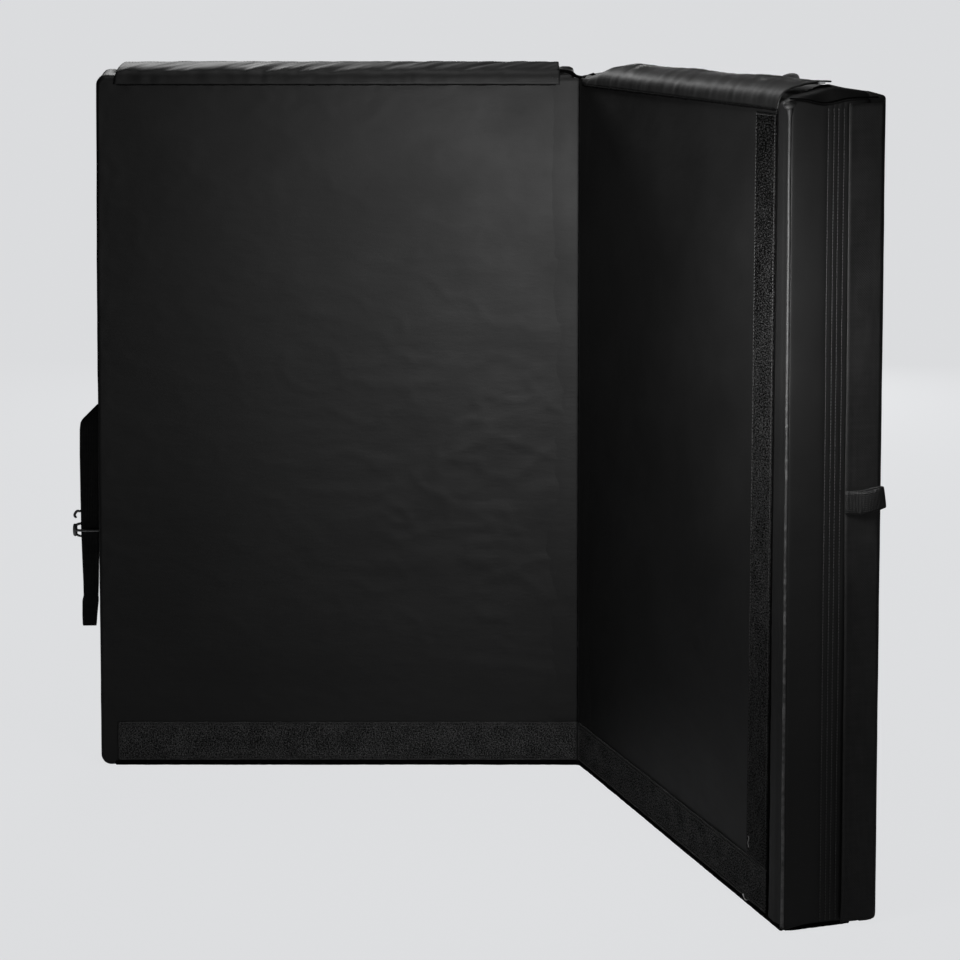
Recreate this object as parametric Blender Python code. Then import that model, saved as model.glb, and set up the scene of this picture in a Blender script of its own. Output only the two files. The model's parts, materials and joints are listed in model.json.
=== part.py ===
"""A folding bouldering crash pad that stands on its long edges, half open.

Two foam panels in fabric covers are joined by a fabric fold. They carry loop strips and hook flaps,
foam access flaps, a closure strap with a wire hook, a catch loop and a carrying harness.

Each panel has its own frame: u runs out from the fold axis, w back from the landing side, z up.
The left panel's u points along -X. The right panel is turned about the fold axis.
"""

import math

import bmesh
import bpy
from mathutils import Vector

# Panels
PANEL_LENGTH = 0.617
PANEL_HEIGHT = 0.904
PANEL_DEPTH = 0.122
CORNER_RADIUS = 0.020
CORNER_LEAST_RADIUS = 0.004
CORNER_STEPS = 4
LANDING_EDGE_RADIUS = 0.010
BACK_EDGE_RADIUS = 0.012
EDGE_STEPS = 3
FACE_CROWN = 0.0025
CROWN_BORDER = 0.0920
CROWN_REACH = 0.170
CROWN_MIDDLE_SHARE = 0.45
CROWN_LEFT_SHARE = 0.30
COVER_WALL = 0.0015
COVER_SEAM_DEPTH = 0.098
LANDING_FOAM_DEPTH = 0.025
BASE_FOAM_DEPTH = 0.020
SEWN_GAP = 0.0003

# Fold
RIGHT_PANEL_TURN = math.radians(71.5)
FOLD_LEAD = 0.0015
FOLD_HALF_GAP = 0.0015
FOLD_WEB_WIDTH = 0.040
FOLD_WEB_THICKNESS = 0.0010

# Loop strips on the landing side
STRIP_WIDTH = 0.0508
STRIP_THICKNESS = 0.0012
BOTTOM_STRIP_DROP = 0.0075
BOTTOM_STRIP_START = 0.0015
LEFT_STRIP_MARGIN = 0.020
SIDE_STRIP_MARGIN = 0.0390
SIDE_STRIP_TOP_DROP = 0.018

# Top flaps
FLAP_THICKNESS = 0.0015
FLAP_SEAM_DROP = 0.0120
FLAP_REACH = 0.0540
LEFT_FLAP_RISE = 0.0145
RIGHT_FLAP_RISE = 0.0175
FLAP_REACH_SHARES = (0.0, 0.01, 0.08, 0.25, 0.52, 0.80, 1.0)
FLAP_RISE_SHARES = (0.0, 0.38, 0.62, 0.80, 0.93, 1.0, 1.0)
FLAP_TAPE_SKIP_STEPS = 2
LEFT_FLAP_SWELL_SHARES = (0.97, 1.0, 0.98, 1.0, 0.96)
RIGHT_FLAP_SWELL_SHARES = (0.78, 0.84, 0.86, 0.93, 1.0)
LEFT_FLAP_START = 0.028
LEFT_FLAP_MARGIN = 0.024
RIGHT_FLAP_START = 0.004
RIGHT_FLAP_MARGIN = 0.027

# Foam access flaps at the outer ends
ACCESS_FLAP_THICKNESS = 0.0010
ACCESS_FLAP_EDGE_DEPTH = 0.0710
ACCESS_FLAP_TRIM = 0.006
ACCESS_FLAP_CORNER = 0.015
ACCESS_TAPE_WIDTH = 0.0220
ACCESS_TAPE_THICKNESS = 0.0009
ACCESS_TAPE_EDGE = 0.0025
ACCESS_TAPE_TRIM = 0.030

# Webbing
WEBBING_WIDTH = 0.0254
WEBBING_THICKNESS = 0.0016

# Catch loop on the right panel's end
CATCH_LOOP_HEIGHT = 0.4690
CATCH_LOOP_LENGTH = 0.0440
CATCH_LOOP_BELLY = 0.0104
CATCH_LOOP_REACH_SHARES = (0.0, 0.35, 0.72, 0.93, 1.0, 0.94, 0.74, 0.34, 0.0)
CATCH_LOOP_BELLY_SHARES = (0.0, 0.0, 0.0, 0.14, 0.50, 0.88, 1.0, 0.48, 0.19)

# Closure strap on the left panel's back
CLOSURE_HEIGHT = 0.4455
CLOSURE_ANCHOR_LENGTH = 0.090
CLOSURE_HINGE_REACH = 0.0095
CLOSURE_HANG_REACH = 0.0215
CLOSURE_TAIL_HEIGHT = 0.1560

# Wire hook on the closure strap
HOOK_WIRE_RADIUS = 0.0018
HOOK_WIRE_SIDES = 8
HOOK_HEIGHT = 0.2860
HOOK_HALF_WIDTH = 0.0205
HOOK_HALF_HEIGHT = 0.0090
HOOK_BEND = 0.0045
HOOK_ARM_RISE = 0.0255
HOOK_TIP_DROP = 0.0085
HOOK_WIRE_END_GAP = 0.0010
HOOK_BAR_SIDE_GAP = 0.0030

# Haul loop at the top of the right panel's back
HAUL_LOOP_SPAN = 0.100
HAUL_LOOP_REACH = 0.0270
HAUL_LOOP_SLOPE = 1.0
HAUL_TAB_LENGTH = 0.022
HAUL_PATCH_DROP = 0.0050
HAUL_PATCH_BORDER = 0.0030
HAUL_SPAN_SHARES = (-0.5, -0.47, -0.36, -0.18, 0.0, 0.18, 0.36, 0.47, 0.5)
HAUL_REACH_SHARES = (0.0, 0.14, 0.62, 0.93, 1.0, 0.93, 0.62, 0.14, 0.0)

# Shoulder straps on the right panel's back
SHOULDER_SPACING = 0.190
SHOULDER_PAD_WIDTH = 0.064
SHOULDER_PAD_THICKNESS = 0.010
SHOULDER_PAD_DROP = 0.1340
SHOULDER_PAD_LENGTH = 0.3750
SHOULDER_BOW = 0.0460
SHOULDER_FALL_SHARES = (0.0, 0.06, 0.16, 0.32, 0.50, 0.68, 0.84, 0.94, 1.0)
SHOULDER_BOW_SHARES = (0.0, 0.14, 0.48, 0.86, 1.0, 0.90, 0.62, 0.42, 0.42)
YOKE_HEIGHT = 0.060
YOKE_OVERHANG = 0.030

# Ladder-lock buckles and the lower webbings
LOCK_WIDTH = 0.0340
LOCK_HEIGHT = 0.0300
LOCK_THICKNESS = 0.0045
LOCK_BAR = 0.0045
LOCK_RAIL = 0.0038
LOCK_CORNER = 0.0030
LOCK_TAB_LENGTH = 0.0120
LOWER_ANCHOR_HEIGHT = 0.1900
LOWER_ANCHOR_SIZE = 0.040
LOWER_TAIL_LENGTH = 0.090
PATCH_THICKNESS = 0.0012

# Hip belt
HIP_HEIGHT = 0.3400
HIP_SPACING = 0.440
HIP_WEBBING_LENGTH = 0.170
HIP_FOLD_LENGTH = 0.022
HIP_PATCH_SIZE = 0.045
BUCKLE_WIDTH = 0.0350
BUCKLE_FRAME_HEIGHT = 0.0110
BUCKLE_FRAME_THICKNESS = 0.0045
BUCKLE_BAR = 0.0030
BUCKLE_RAIL = 0.0040
BUCKLE_CORNER = 0.0025
SOCKET_HEIGHT = 0.0260
SOCKET_DEPTH = 0.0105
SOCKET_WALL = 0.0018
SOCKET_FLOOR = 0.0040
SOCKET_JOIN = 0.0020
PRONG_LENGTH = 0.0230
PRONG_CLEARANCE = 0.0008
SIDE_PRONG_WIDTH = 0.0050
GUIDE_PRONG_WIDTH = 0.0040
PRONG_BARB = 0.0020
PRONG_BARB_LENGTH = 0.0070
CUT_OVERRUN = 0.002

# Places that several pieces share
FACE_DEPTH = FOLD_LEAD + FACE_CROWN
BACK_DEPTH = FOLD_LEAD + PANEL_DEPTH
OUTER_END = FOLD_HALF_GAP + PANEL_LENGTH
PANEL_MIDDLE = FOLD_HALF_GAP + PANEL_LENGTH / 2
COVER_INSIDE = COVER_WALL + SEWN_GAP
SEWN_BACK = BACK_DEPTH + SEWN_GAP
SEWN_END = OUTER_END + SEWN_GAP


def clear_scene():
    """Remove every object that the file starts with."""
    for item in list(bpy.data.objects):
        bpy.data.objects.remove(item, do_unlink=True)


def make_material(name, color, roughness, metallic=0.0):
    """A Principled material with one colour, for a group of pieces of like finish."""
    material = bpy.data.materials.new(name)
    material.use_nodes = True
    shader = material.node_tree.nodes["Principled BSDF"]
    shader.inputs["Base Color"].default_value = (*color, 1.0)
    shader.inputs["Roughness"].default_value = roughness
    shader.inputs["Metallic"].default_value = metallic
    return material


class Carrier:
    """An empty that pieces hang from, at a point of a panel's own frame.

    side is -1 on the left panel, whose u points along -X, and 1 on the right panel.
    """

    def __init__(self, name, side, pivot=(0.0, 0.0, 0.0), parent=None):
        self.side = side
        self.pivot = pivot
        self.empty = bpy.data.objects.new(name, None)
        bpy.context.scene.collection.objects.link(self.empty)
        if parent:
            self.empty.parent = parent.empty
            self.empty.location = parent.local(pivot)

    def local(self, point):
        """A panel-frame point, in this empty's own coordinates."""
        u, w, z = (value - start for value, start in zip(point, self.pivot))
        return (self.side * u, w, z)


def add_piece(carrier, name, material, verts, faces):
    """One closed solid as a named object, its points given in the panel's frame."""
    mesh = bpy.data.meshes.new(name)
    mesh.from_pydata([carrier.local(vert) for vert in verts], [], faces)
    shape = bmesh.new()
    shape.from_mesh(mesh)
    bmesh.ops.recalc_face_normals(shape, faces=shape.faces)
    shape.to_mesh(mesh)
    shape.free()
    mesh.materials.append(material)
    piece = bpy.data.objects.new(name, mesh)
    piece.parent = carrier.empty
    bpy.context.scene.collection.objects.link(piece)
    return piece


def loft(carrier, name, material, rings):
    """A closed solid through rings of equal count, capped at the first and the last."""
    count = len(rings[0])
    verts = [point for ring in rings for point in ring]
    faces = [tuple(range(count)), tuple(range(len(verts) - count, len(verts)))]
    for ring in range(len(rings) - 1):
        for here in range(count):
            after = (here + 1) % count
            low, high = ring * count, (ring + 1) * count
            faces.append((low + here, low + after, high + after, high + here))
    return add_piece(carrier, name, material, verts, faces)


def shade_round(piece, sharp_degrees=40):
    """Shade a round piece smooth, with its hard edges kept."""
    piece.data.shade_smooth()
    piece.data.set_sharp_from_angle(angle=math.radians(sharp_degrees))


def offset_path(path, distance):
    """A flat path moved to its left by a distance, with mitred bends."""
    points = [Vector(point) for point in path]
    moved = []
    for index, point in enumerate(points):
        ways = []
        if index:
            ways.append((point - points[index - 1]).normalized())
        if index < len(points) - 1:
            ways.append((points[index + 1] - point).normalized())
        normals = [Vector((-way.y, way.x)) for way in ways]
        mitre = sum(normals, Vector((0, 0)))
        mitre *= len(normals) / mitre.length_squared
        moved.append(tuple(point + mitre * distance))
    return moved


def band_outline(path, thickness):
    """The outline of a band of even thickness whose middle follows a flat path."""
    return offset_path(path, thickness / 2) + offset_path(path, -thickness / 2)[::-1]


def band_along_u(carrier, name, material, path, thickness, low_u, high_u):
    """A band whose side view, in w and z, follows a path, and whose width runs along u."""
    outline = band_outline(path, thickness)
    rings = [[(u, w, z) for w, z in outline] for u in (low_u, high_u)]
    return loft(carrier, name, material, rings)


def band_along_z(carrier, name, material, path, thickness, low_z, high_z):
    """A band whose plan view, in u and w, follows a path, and whose width runs along z."""
    outline = band_outline(path, thickness)
    rings = [[(u, w, z) for u, w in outline] for z in (low_z, high_z)]
    return loft(carrier, name, material, rings)


def plate(carrier, name, material, outline, low_w, high_w):
    """A flat plate parallel to the panel, its outline given in u and z."""
    rings = [[(u, w, z) for u, z in outline] for w in (low_w, high_w)]
    return loft(carrier, name, material, rings)


def rectangle(low_a, high_a, low_b, high_b, corner=0.0, steps=3):
    """A rectangle's outline, with round corners if a radius is given."""
    if not corner:
        return [(high_a, high_b), (low_a, high_b), (low_a, low_b), (high_a, low_b)]
    outline = []
    centres = [
        (high_a - corner, high_b - corner),
        (low_a + corner, high_b - corner),
        (low_a + corner, low_b + corner),
        (high_a - corner, low_b + corner),
    ]
    for quarter, (a, b) in enumerate(centres):
        for step in range(steps + 1):
            angle = math.pi / 2 * (quarter + step / steps)
            outline.append((a + corner * math.cos(angle), b + corner * math.sin(angle)))
    return outline


def tube_rings(points, radius, sides):
    """Rings of a round wire along points in space, mitred at its bends."""
    points = [Vector(point) for point in points]
    across = None
    rings = []
    for index, point in enumerate(points):
        before = (point - points[index - 1]).normalized() if index else None
        after = (points[index + 1] - point).normalized() if index < len(points) - 1 else None
        way = ((before or after) + (after or before)).normalized()
        if across is None:
            across = way.orthogonal().normalized()
        across = (across - way * across.dot(way)).normalized()
        other = way.cross(across)
        bend = (before or after) + (after or before)
        stretch = 2 / bend.length
        inward = (after - before) if before and after else Vector((0, 0, 0))
        ring = []
        for side in range(sides):
            angle = 2 * math.pi * side / sides
            spoke = (across * math.cos(angle) + other * math.sin(angle)) * radius
            if inward.length_squared:
                lean = inward.normalized()
                spoke += lean * spoke.dot(lean) * (stretch - 1)
            ring.append(tuple(point + spoke))
        rings.append(ring)
    return rings


def cut_from(piece, cutter):
    """Cut one solid out of another with a Boolean, and keep the cutter out of the part."""
    cutter.hide_render = True
    cutter.display_type = "WIRE"
    modifier = piece.modifiers.new(cutter.name, "BOOLEAN")
    modifier.operation = "DIFFERENCE"
    modifier.solver = "EXACT"
    modifier.object = cutter


def join_to(piece, helper):
    """Weld one solid to another with a Boolean, and keep the helper out of the part."""
    cut_from(piece, helper)
    piece.modifiers[helper.name].operation = "UNION"


def panel_ring(inset, depth):
    """A rounded rectangle round a panel, drawn in from its edges by the inset, at one depth."""
    radius = max(CORNER_RADIUS - inset, CORNER_LEAST_RADIUS)
    outline = rectangle(
        FOLD_HALF_GAP + inset, OUTER_END - inset, inset, PANEL_HEIGHT - inset, radius, CORNER_STEPS
    )
    return [(u, FOLD_LEAD + depth, z) for u, z in outline]


def rounded_edge(radius, start_depth, offset, sign):
    """Insets and depths round a panel's edge, from its face to its side, moved in by the offset."""
    centre = start_depth + sign * radius
    corner = []
    for step in range(EDGE_STEPS + 1):
        angle = math.pi / 2 * step / EDGE_STEPS
        inset = radius - (radius - offset) * math.sin(angle)
        corner.append((inset, centre - sign * (radius - offset) * math.cos(angle)))
    return corner


def landing_side(offset):
    """Insets and depths of the landing side from its middle to its edge, moved in by the offset.

    A flat border carries the strips, and the middle rises from it to the crown.
    """
    middle = CROWN_BORDER + (CROWN_REACH - CROWN_BORDER) * CROWN_MIDDLE_SHARE
    crown = [
        (CROWN_REACH, offset),
        (middle, FACE_CROWN * CROWN_LEFT_SHARE + offset),
        (CROWN_BORDER, FACE_CROWN + offset),
    ]
    return crown + rounded_edge(LANDING_EDGE_RADIUS, FACE_CROWN, offset, 1)


def back_side(offset):
    """Insets and depths of the back from its middle to its edge, moved in by the offset."""
    return rounded_edge(BACK_EDGE_RADIUS, PANEL_DEPTH, offset, -1)


def rings_through(profile):
    """Panel rings through a list of insets and depths."""
    return [panel_ring(inset, depth) for inset, depth in profile]


def add_panel(carrier, side_name, materials):
    """One panel: two covers sewn face to face, and three foam layers inside them."""
    seam = COVER_SEAM_DEPTH
    back_seam = COVER_SEAM_DEPTH + SEWN_GAP
    front = landing_side(0.0) + [(0.0, seam)]
    front_inside = landing_side(COVER_WALL) + [(COVER_WALL, seam)]
    back = back_side(0.0) + [(0.0, back_seam)]
    back_inside = back_side(COVER_WALL) + [(COVER_WALL, back_seam)]
    for name, outside, inside, key in (
        ("landing_cover", front, front_inside, "coated"),
        ("back_cover", back, back_inside, "woven"),
    ):
        rings = rings_through(outside + inside[::-1])
        shade_round(loft(carrier, f"{side_name}_{name}", materials[key], rings))
    landing_end = COVER_INSIDE + LANDING_FOAM_DEPTH
    base_start = PANEL_DEPTH - COVER_INSIDE - BASE_FOAM_DEPTH
    layers = {
        "landing_foam": landing_side(COVER_INSIDE) + [(COVER_INSIDE, landing_end)],
        "core_foam": [
            (COVER_INSIDE, landing_end + SEWN_GAP),
            (COVER_INSIDE, base_start - SEWN_GAP),
        ],
        "base_foam": back_side(COVER_INSIDE) + [(COVER_INSIDE, base_start)],
    }
    for name, profile in layers.items():
        key = "open_foam" if name == "core_foam" else "closed_foam"
        loft(carrier, f"{side_name}_{name}", materials[key], rings_through(profile))


def add_fold_web(carrier, materials):
    """The fabric over the fold, sewn to both landing sides and bent at their crease."""
    depth = FACE_DEPTH - SEWN_GAP - FOLD_WEB_THICKNESS / 2
    crease = (-depth * math.tan(RIGHT_PANEL_TURN / 2), depth)
    cosine, sine = math.cos(RIGHT_PANEL_TURN), math.sin(RIGHT_PANEL_TURN)
    far_x = FOLD_WEB_WIDTH * cosine + depth * sine
    far_y = depth * cosine - FOLD_WEB_WIDTH * sine
    path = [(FOLD_WEB_WIDTH, depth), crease, (-far_x, far_y)]
    low_z = BOTTOM_STRIP_DROP + STRIP_WIDTH + SEWN_GAP
    high_z = PANEL_HEIGHT - FLAP_SEAM_DROP - FLAP_THICKNESS
    material = materials["coated"]
    band_along_z(carrier, "fold_crease_web", material, path, FOLD_WEB_THICKNESS, low_z, high_z)


def add_strip(carrier, name, materials, low_u, high_u, low_z, high_z):
    """A loop strip sewn flat on the border of a landing side."""
    back = FACE_DEPTH - SEWN_GAP
    outline = rectangle(low_u, high_u, low_z, high_z)
    plate(carrier, name, materials["loop"], outline, back - STRIP_THICKNESS, back)


def add_strips(left, right, materials):
    """The loop strips: one along each panel's bottom, and one up the right panel's outer edge."""
    low_z = BOTTOM_STRIP_DROP
    high_z = BOTTOM_STRIP_DROP + STRIP_WIDTH
    start = FOLD_HALF_GAP + BOTTOM_STRIP_START
    left_end = OUTER_END - LEFT_STRIP_MARGIN
    right_end = OUTER_END - SIDE_STRIP_MARGIN
    add_strip(left, "left_bottom_loop_strip", materials, start, left_end, low_z, high_z)
    add_strip(right, "right_bottom_loop_strip", materials, start, right_end, low_z, high_z)
    side_low = high_z + SEWN_GAP
    side_high = PANEL_HEIGHT - SIDE_STRIP_TOP_DROP
    side_start = right_end - STRIP_WIDTH
    add_strip(right, "right_side_loop_strip", materials, side_start, right_end, side_low, side_high)


def flap_root():
    """The w and z of a top flap's sewn line, where it turns."""
    return FACE_DEPTH - SEWN_GAP - FLAP_THICKNESS / 2, PANEL_HEIGHT - FLAP_SEAM_DROP


def add_top_flap(carrier, name, materials, low_u, high_u, rise, swell_shares):
    """A top flap that goes up over the top edge and lies back, with hook tape on its underside."""
    root_w, root_z = flap_root()
    flap_rings, tape_rings = [], []
    tape_drop = FLAP_THICKNESS / 2 + SEWN_GAP + STRIP_THICKNESS / 2
    for index, swell in enumerate(swell_shares):
        u = low_u + (high_u - low_u) * index / (len(swell_shares) - 1)
        height = FLAP_SEAM_DROP + rise * swell
        path = [
            (root_w + FLAP_REACH * reach, root_z + height * share)
            for reach, share in zip(FLAP_REACH_SHARES, FLAP_RISE_SHARES)
        ]
        # Seen with w to the right and z up, the path runs right, so its underside is on its right.
        tape = offset_path(path, -tape_drop)[FLAP_TAPE_SKIP_STEPS:]
        flap_rings.append([(u, w, z) for w, z in band_outline(path, FLAP_THICKNESS)])
        tape_rings.append([(u, w, z) for w, z in band_outline(tape, STRIP_THICKNESS)])
    loft(carrier, name, materials["coated"], flap_rings)
    loft(carrier, f"{name}_hook_tape", materials["hook"], tape_rings)


def access_layers():
    """Where the layers of a foam access flap start beyond the outer end: loop, hook and flap."""
    loop_start = SEWN_END
    hook_start = loop_start + ACCESS_TAPE_THICKNESS + SEWN_GAP
    flap_start = hook_start + ACCESS_TAPE_THICKNESS + SEWN_GAP
    return loop_start, hook_start, flap_start


def access_hinge():
    """The u and w of the line that a foam access flap turns about, at its back edge."""
    return access_layers()[2] + ACCESS_FLAP_THICKNESS / 2, BACK_DEPTH - BACK_EDGE_RADIUS


def end_plate(carrier, name, material, outline, low_u, high_u):
    """A flat plate parallel to the panel's outer end, its outline given in w and z."""
    rings = [[(u, w, z) for w, z in outline] for u in (low_u, high_u)]
    loft(carrier, name, material, rings)


def add_access_flap(panel, flap, side_name, materials):
    """The flap over the opening that the foam goes in by, and the two tapes that hold it shut."""
    loop_start, hook_start, flap_start = access_layers()
    edge_w = FOLD_LEAD + ACCESS_FLAP_EDGE_DEPTH
    tape_low = edge_w + ACCESS_TAPE_EDGE
    tape_high = tape_low + ACCESS_TAPE_WIDTH
    low_z, high_z = ACCESS_TAPE_TRIM, PANEL_HEIGHT - ACCESS_TAPE_TRIM
    tape = rectangle(tape_low, tape_high, low_z, high_z)
    loop_end = loop_start + ACCESS_TAPE_THICKNESS
    hook_end = hook_start + ACCESS_TAPE_THICKNESS
    end_plate(panel, f"{side_name}_access_loop_tape", materials["loop"], tape, loop_start, loop_end)
    end_plate(flap, f"{side_name}_access_hook_tape", materials["hook"], tape, hook_start, hook_end)
    back_w = access_hinge()[1]
    top, bottom = PANEL_HEIGHT - ACCESS_FLAP_TRIM, ACCESS_FLAP_TRIM
    cut = ACCESS_FLAP_CORNER
    outline = [
        (back_w, bottom + cut),
        (back_w, top),
        (edge_w, top),
        (edge_w, bottom),
        (back_w - cut, bottom),
    ]
    flap_end = flap_start + ACCESS_FLAP_THICKNESS
    end_plate(flap, f"{side_name}_access_flap", materials["woven"], outline, flap_start, flap_end)


def catch_loop_root():
    """The u and w of the catch loop's sewn end, on the access flap's free edge."""
    outside = access_layers()[2] + ACCESS_FLAP_THICKNESS + SEWN_GAP
    return outside + WEBBING_THICKNESS / 2, FOLD_LEAD + ACCESS_FLAP_EDGE_DEPTH


def add_catch_loop(carrier, materials):
    """A webbing loop that the closure hook catches, bent back on itself round an open belly."""
    root_u, root_w = catch_loop_root()
    path = [
        (root_u + CATCH_LOOP_BELLY * belly, root_w + CATCH_LOOP_LENGTH * reach)
        for belly, reach in zip(CATCH_LOOP_BELLY_SHARES, CATCH_LOOP_REACH_SHARES)
    ]
    low_z = CATCH_LOOP_HEIGHT - WEBBING_WIDTH / 2
    high_z = CATCH_LOOP_HEIGHT + WEBBING_WIDTH / 2
    band_along_z(carrier, "catch_loop", materials["webbing"], path, WEBBING_THICKNESS, low_z, high_z)


def closure_hinge():
    """The u and w of the line that the closure strap swings about, just past the panel's corner."""
    return OUTER_END + CLOSURE_HINGE_REACH, SEWN_BACK + WEBBING_THICKNESS / 2


def add_closure_strap(panel, swing, materials):
    """The sewn anchor on the left panel's back, and the strap that folds down at 45 degrees."""
    hinge_u, middle_w = closure_hinge()
    reach = WEBBING_THICKNESS / 2
    low_z = CLOSURE_HEIGHT - WEBBING_WIDTH / 2
    high_z = CLOSURE_HEIGHT + WEBBING_WIDTH / 2
    start = OUTER_END - CLOSURE_ANCHOR_LENGTH
    anchor = rectangle(start, hinge_u - reach - SEWN_GAP, low_z, high_z)
    edges = (middle_w - reach, middle_w + reach)
    plate(panel, "closure_strap_anchor", materials["webbing"], anchor, *edges)
    inner = OUTER_END + CLOSURE_HANG_REACH
    outer = inner + WEBBING_WIDTH
    rings = []
    # The strap's root narrows to an edge on both sides of its hinge line, so that it turns freely.
    for nose, w in ((0.0, middle_w - reach), (reach, middle_w), (0.0, middle_w + reach)):
        outline = [
            (hinge_u - nose, low_z),
            (hinge_u - nose, high_z),
            (inner, high_z),
            (outer, low_z),
            (outer, CLOSURE_TAIL_HEIGHT),
            (inner, CLOSURE_TAIL_HEIGHT),
            (inner, low_z),
        ]
        rings.append([(u, w, z) for u, z in outline])
    loft(swing, "closure_strap", materials["webbing"], rings)


def hook_place():
    """The u, w and z of the middle of the wire hook's bar."""
    u = OUTER_END + CLOSURE_HANG_REACH + WEBBING_WIDTH / 2
    return u, closure_hinge()[1], HOOK_HEIGHT


def add_closure_hook(carrier, materials):
    """A wire hook threaded on the strap: frame and arm behind the webbing, one bar before it."""
    middle_u, middle_w, middle_z = hook_place()
    clear = WEBBING_THICKNESS / 2 + SEWN_GAP + HOOK_WIRE_RADIUS
    behind, before = middle_w + clear, middle_w - clear
    wide, tall, bend = HOOK_HALF_WIDTH, HOOK_HALF_HEIGHT, HOOK_BEND
    wire_end = -wide + 2 * HOOK_WIRE_RADIUS + HOOK_WIRE_END_GAP
    flat = [
        (wide, HOOK_ARM_RISE - HOOK_TIP_DROP),
        (wide, HOOK_ARM_RISE - bend),
        (wide - bend / 3, HOOK_ARM_RISE - bend / 3),
        (wide - bend, HOOK_ARM_RISE),
        (-wide + bend, HOOK_ARM_RISE),
        (-wide, HOOK_ARM_RISE - bend),
        (-wide, -tall + bend),
        (-wide + bend, -tall),
        (wide - bend, -tall),
        (wide, -tall + bend),
        (wide, tall - bend),
        (wide - bend, tall),
        (wire_end, tall),
    ]
    wire = [(middle_u + a, behind, middle_z + b) for a, b in flat]
    rings = tube_rings(wire, HOOK_WIRE_RADIUS, HOOK_WIRE_SIDES)
    hook = loft(carrier, "closure_hook", materials["steel"], rings)
    turn = WEBBING_WIDTH / 2 + HOOK_BAR_SIDE_GAP
    bar = [(wide, behind), (turn, before), (-turn, before), (-wide, behind)]
    points = [(middle_u + a, w, middle_z) for a, w in bar]
    rings = tube_rings(points, HOOK_WIRE_RADIUS, HOOK_WIRE_SIDES)
    join_to(hook, loft(carrier, "hook_bar_helper", materials["steel"], rings))
    shade_round(hook)


def add_haul_loop(panel, materials):
    """The webbing handle at the top of the right panel's back, on its sewn patch."""
    root_w = SEWN_BACK + PATCH_THICKNESS + SEWN_GAP + WEBBING_THICKNESS / 2
    patch_half = HAUL_LOOP_SPAN / 2 + HAUL_TAB_LENGTH + HAUL_PATCH_BORDER
    patch_height = WEBBING_WIDTH + 2 * HAUL_PATCH_BORDER
    patch_high = PANEL_HEIGHT - HAUL_PATCH_DROP - BACK_EDGE_RADIUS / 2
    add_patch(
        panel, "haul_loop_patch", materials,
        PANEL_MIDDLE - patch_half, PANEL_MIDDLE + patch_half, patch_high - patch_height, patch_high,
    )
    tab = HAUL_LOOP_SPAN / 2 + HAUL_TAB_LENGTH
    arch = [
        (PANEL_MIDDLE + HAUL_LOOP_SPAN * span, root_w + HAUL_LOOP_REACH * reach)
        for span, reach in zip(HAUL_SPAN_SHARES, HAUL_REACH_SHARES)
    ]
    path = [(PANEL_MIDDLE - tab, root_w)] + arch + [(PANEL_MIDDLE + tab, root_w)]
    middle_z = patch_high - patch_height / 2
    rings = []
    for side_z in (middle_z - WEBBING_WIDTH / 2, middle_z + WEBBING_WIDTH / 2):
        # The handle leans up as it stands out, so that its crown shows over the top edge.
        ring = [
            (u, w, side_z + (w - root_w) * HAUL_LOOP_SLOPE)
            for u, w in band_outline(path, WEBBING_THICKNESS)
        ]
        rings.append(ring)
    loft(panel, "haul_loop", materials["webbing"], rings)


def add_patch(panel, name, materials, low_u, high_u, low_z, high_z):
    """A reinforcement patch sewn flat on a panel's back."""
    outline = rectangle(low_u, high_u, low_z, high_z)
    plate(panel, name, materials["webbing"], outline, SEWN_BACK, SEWN_BACK + PATCH_THICKNESS)


def add_square_patch(panel, name, materials, middle_u, middle_z, size):
    """A square reinforcement patch round a point of a panel's back."""
    low_u, high_u = middle_u - size / 2, middle_u + size / 2
    low_z, high_z = middle_z - size / 2, middle_z + size / 2
    add_patch(panel, name, materials, low_u, high_u, low_z, high_z)


def add_yoke(panel, materials):
    """The wide patch that both shoulder straps are sewn on."""
    half = SHOULDER_SPACING / 2 + SHOULDER_PAD_WIDTH / 2 + YOKE_OVERHANG
    middle_z = PANEL_HEIGHT - SHOULDER_PAD_DROP
    low_z, high_z = middle_z - YOKE_HEIGHT / 2, middle_z + YOKE_HEIGHT / 2
    low_u, high_u = PANEL_MIDDLE - half, PANEL_MIDDLE + half
    add_patch(panel, "shoulder_yoke", materials, low_u, high_u, low_z, high_z)


def shoulder_path():
    """The w and z of the middle of a shoulder pad, from its sewn top to its lower end."""
    start_w = SEWN_BACK + PATCH_THICKNESS + SEWN_GAP + SHOULDER_PAD_THICKNESS / 2
    top_z = PANEL_HEIGHT - SHOULDER_PAD_DROP
    return [
        (start_w + SHOULDER_BOW * bow, top_z - SHOULDER_PAD_LENGTH * share)
        for bow, share in zip(SHOULDER_BOW_SHARES, SHOULDER_FALL_SHARES)
    ]


def lock_slot_height():
    """The height of each of a ladder-lock's two slots."""
    return (LOCK_HEIGHT - 3 * LOCK_BAR) / 2


def add_ladder_lock(panel, name, middle_u, middle_w, top_z, materials):
    """A moulded frame of two rails and three bars, with a slot over and under the middle bar."""
    low_u, high_u = middle_u - LOCK_WIDTH / 2, middle_u + LOCK_WIDTH / 2
    low_w, high_w = middle_w - LOCK_THICKNESS / 2, middle_w + LOCK_THICKNESS / 2
    outline = rectangle(low_u, high_u, top_z - LOCK_HEIGHT, top_z, LOCK_CORNER)
    lock = plate(panel, name, materials["plastic"], outline, low_w, high_w)
    for slot in range(2):
        slot_top = top_z - LOCK_BAR - slot * (lock_slot_height() + LOCK_BAR)
        slot_low = slot_top - lock_slot_height()
        hole = rectangle(low_u + LOCK_RAIL, high_u - LOCK_RAIL, slot_low, slot_top)
        through = (low_w - CUT_OVERRUN, high_w + CUT_OVERRUN)
        cut_from(lock, plate(panel, f"{name}_cut_{slot}", materials["plastic"], hole, *through))


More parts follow.
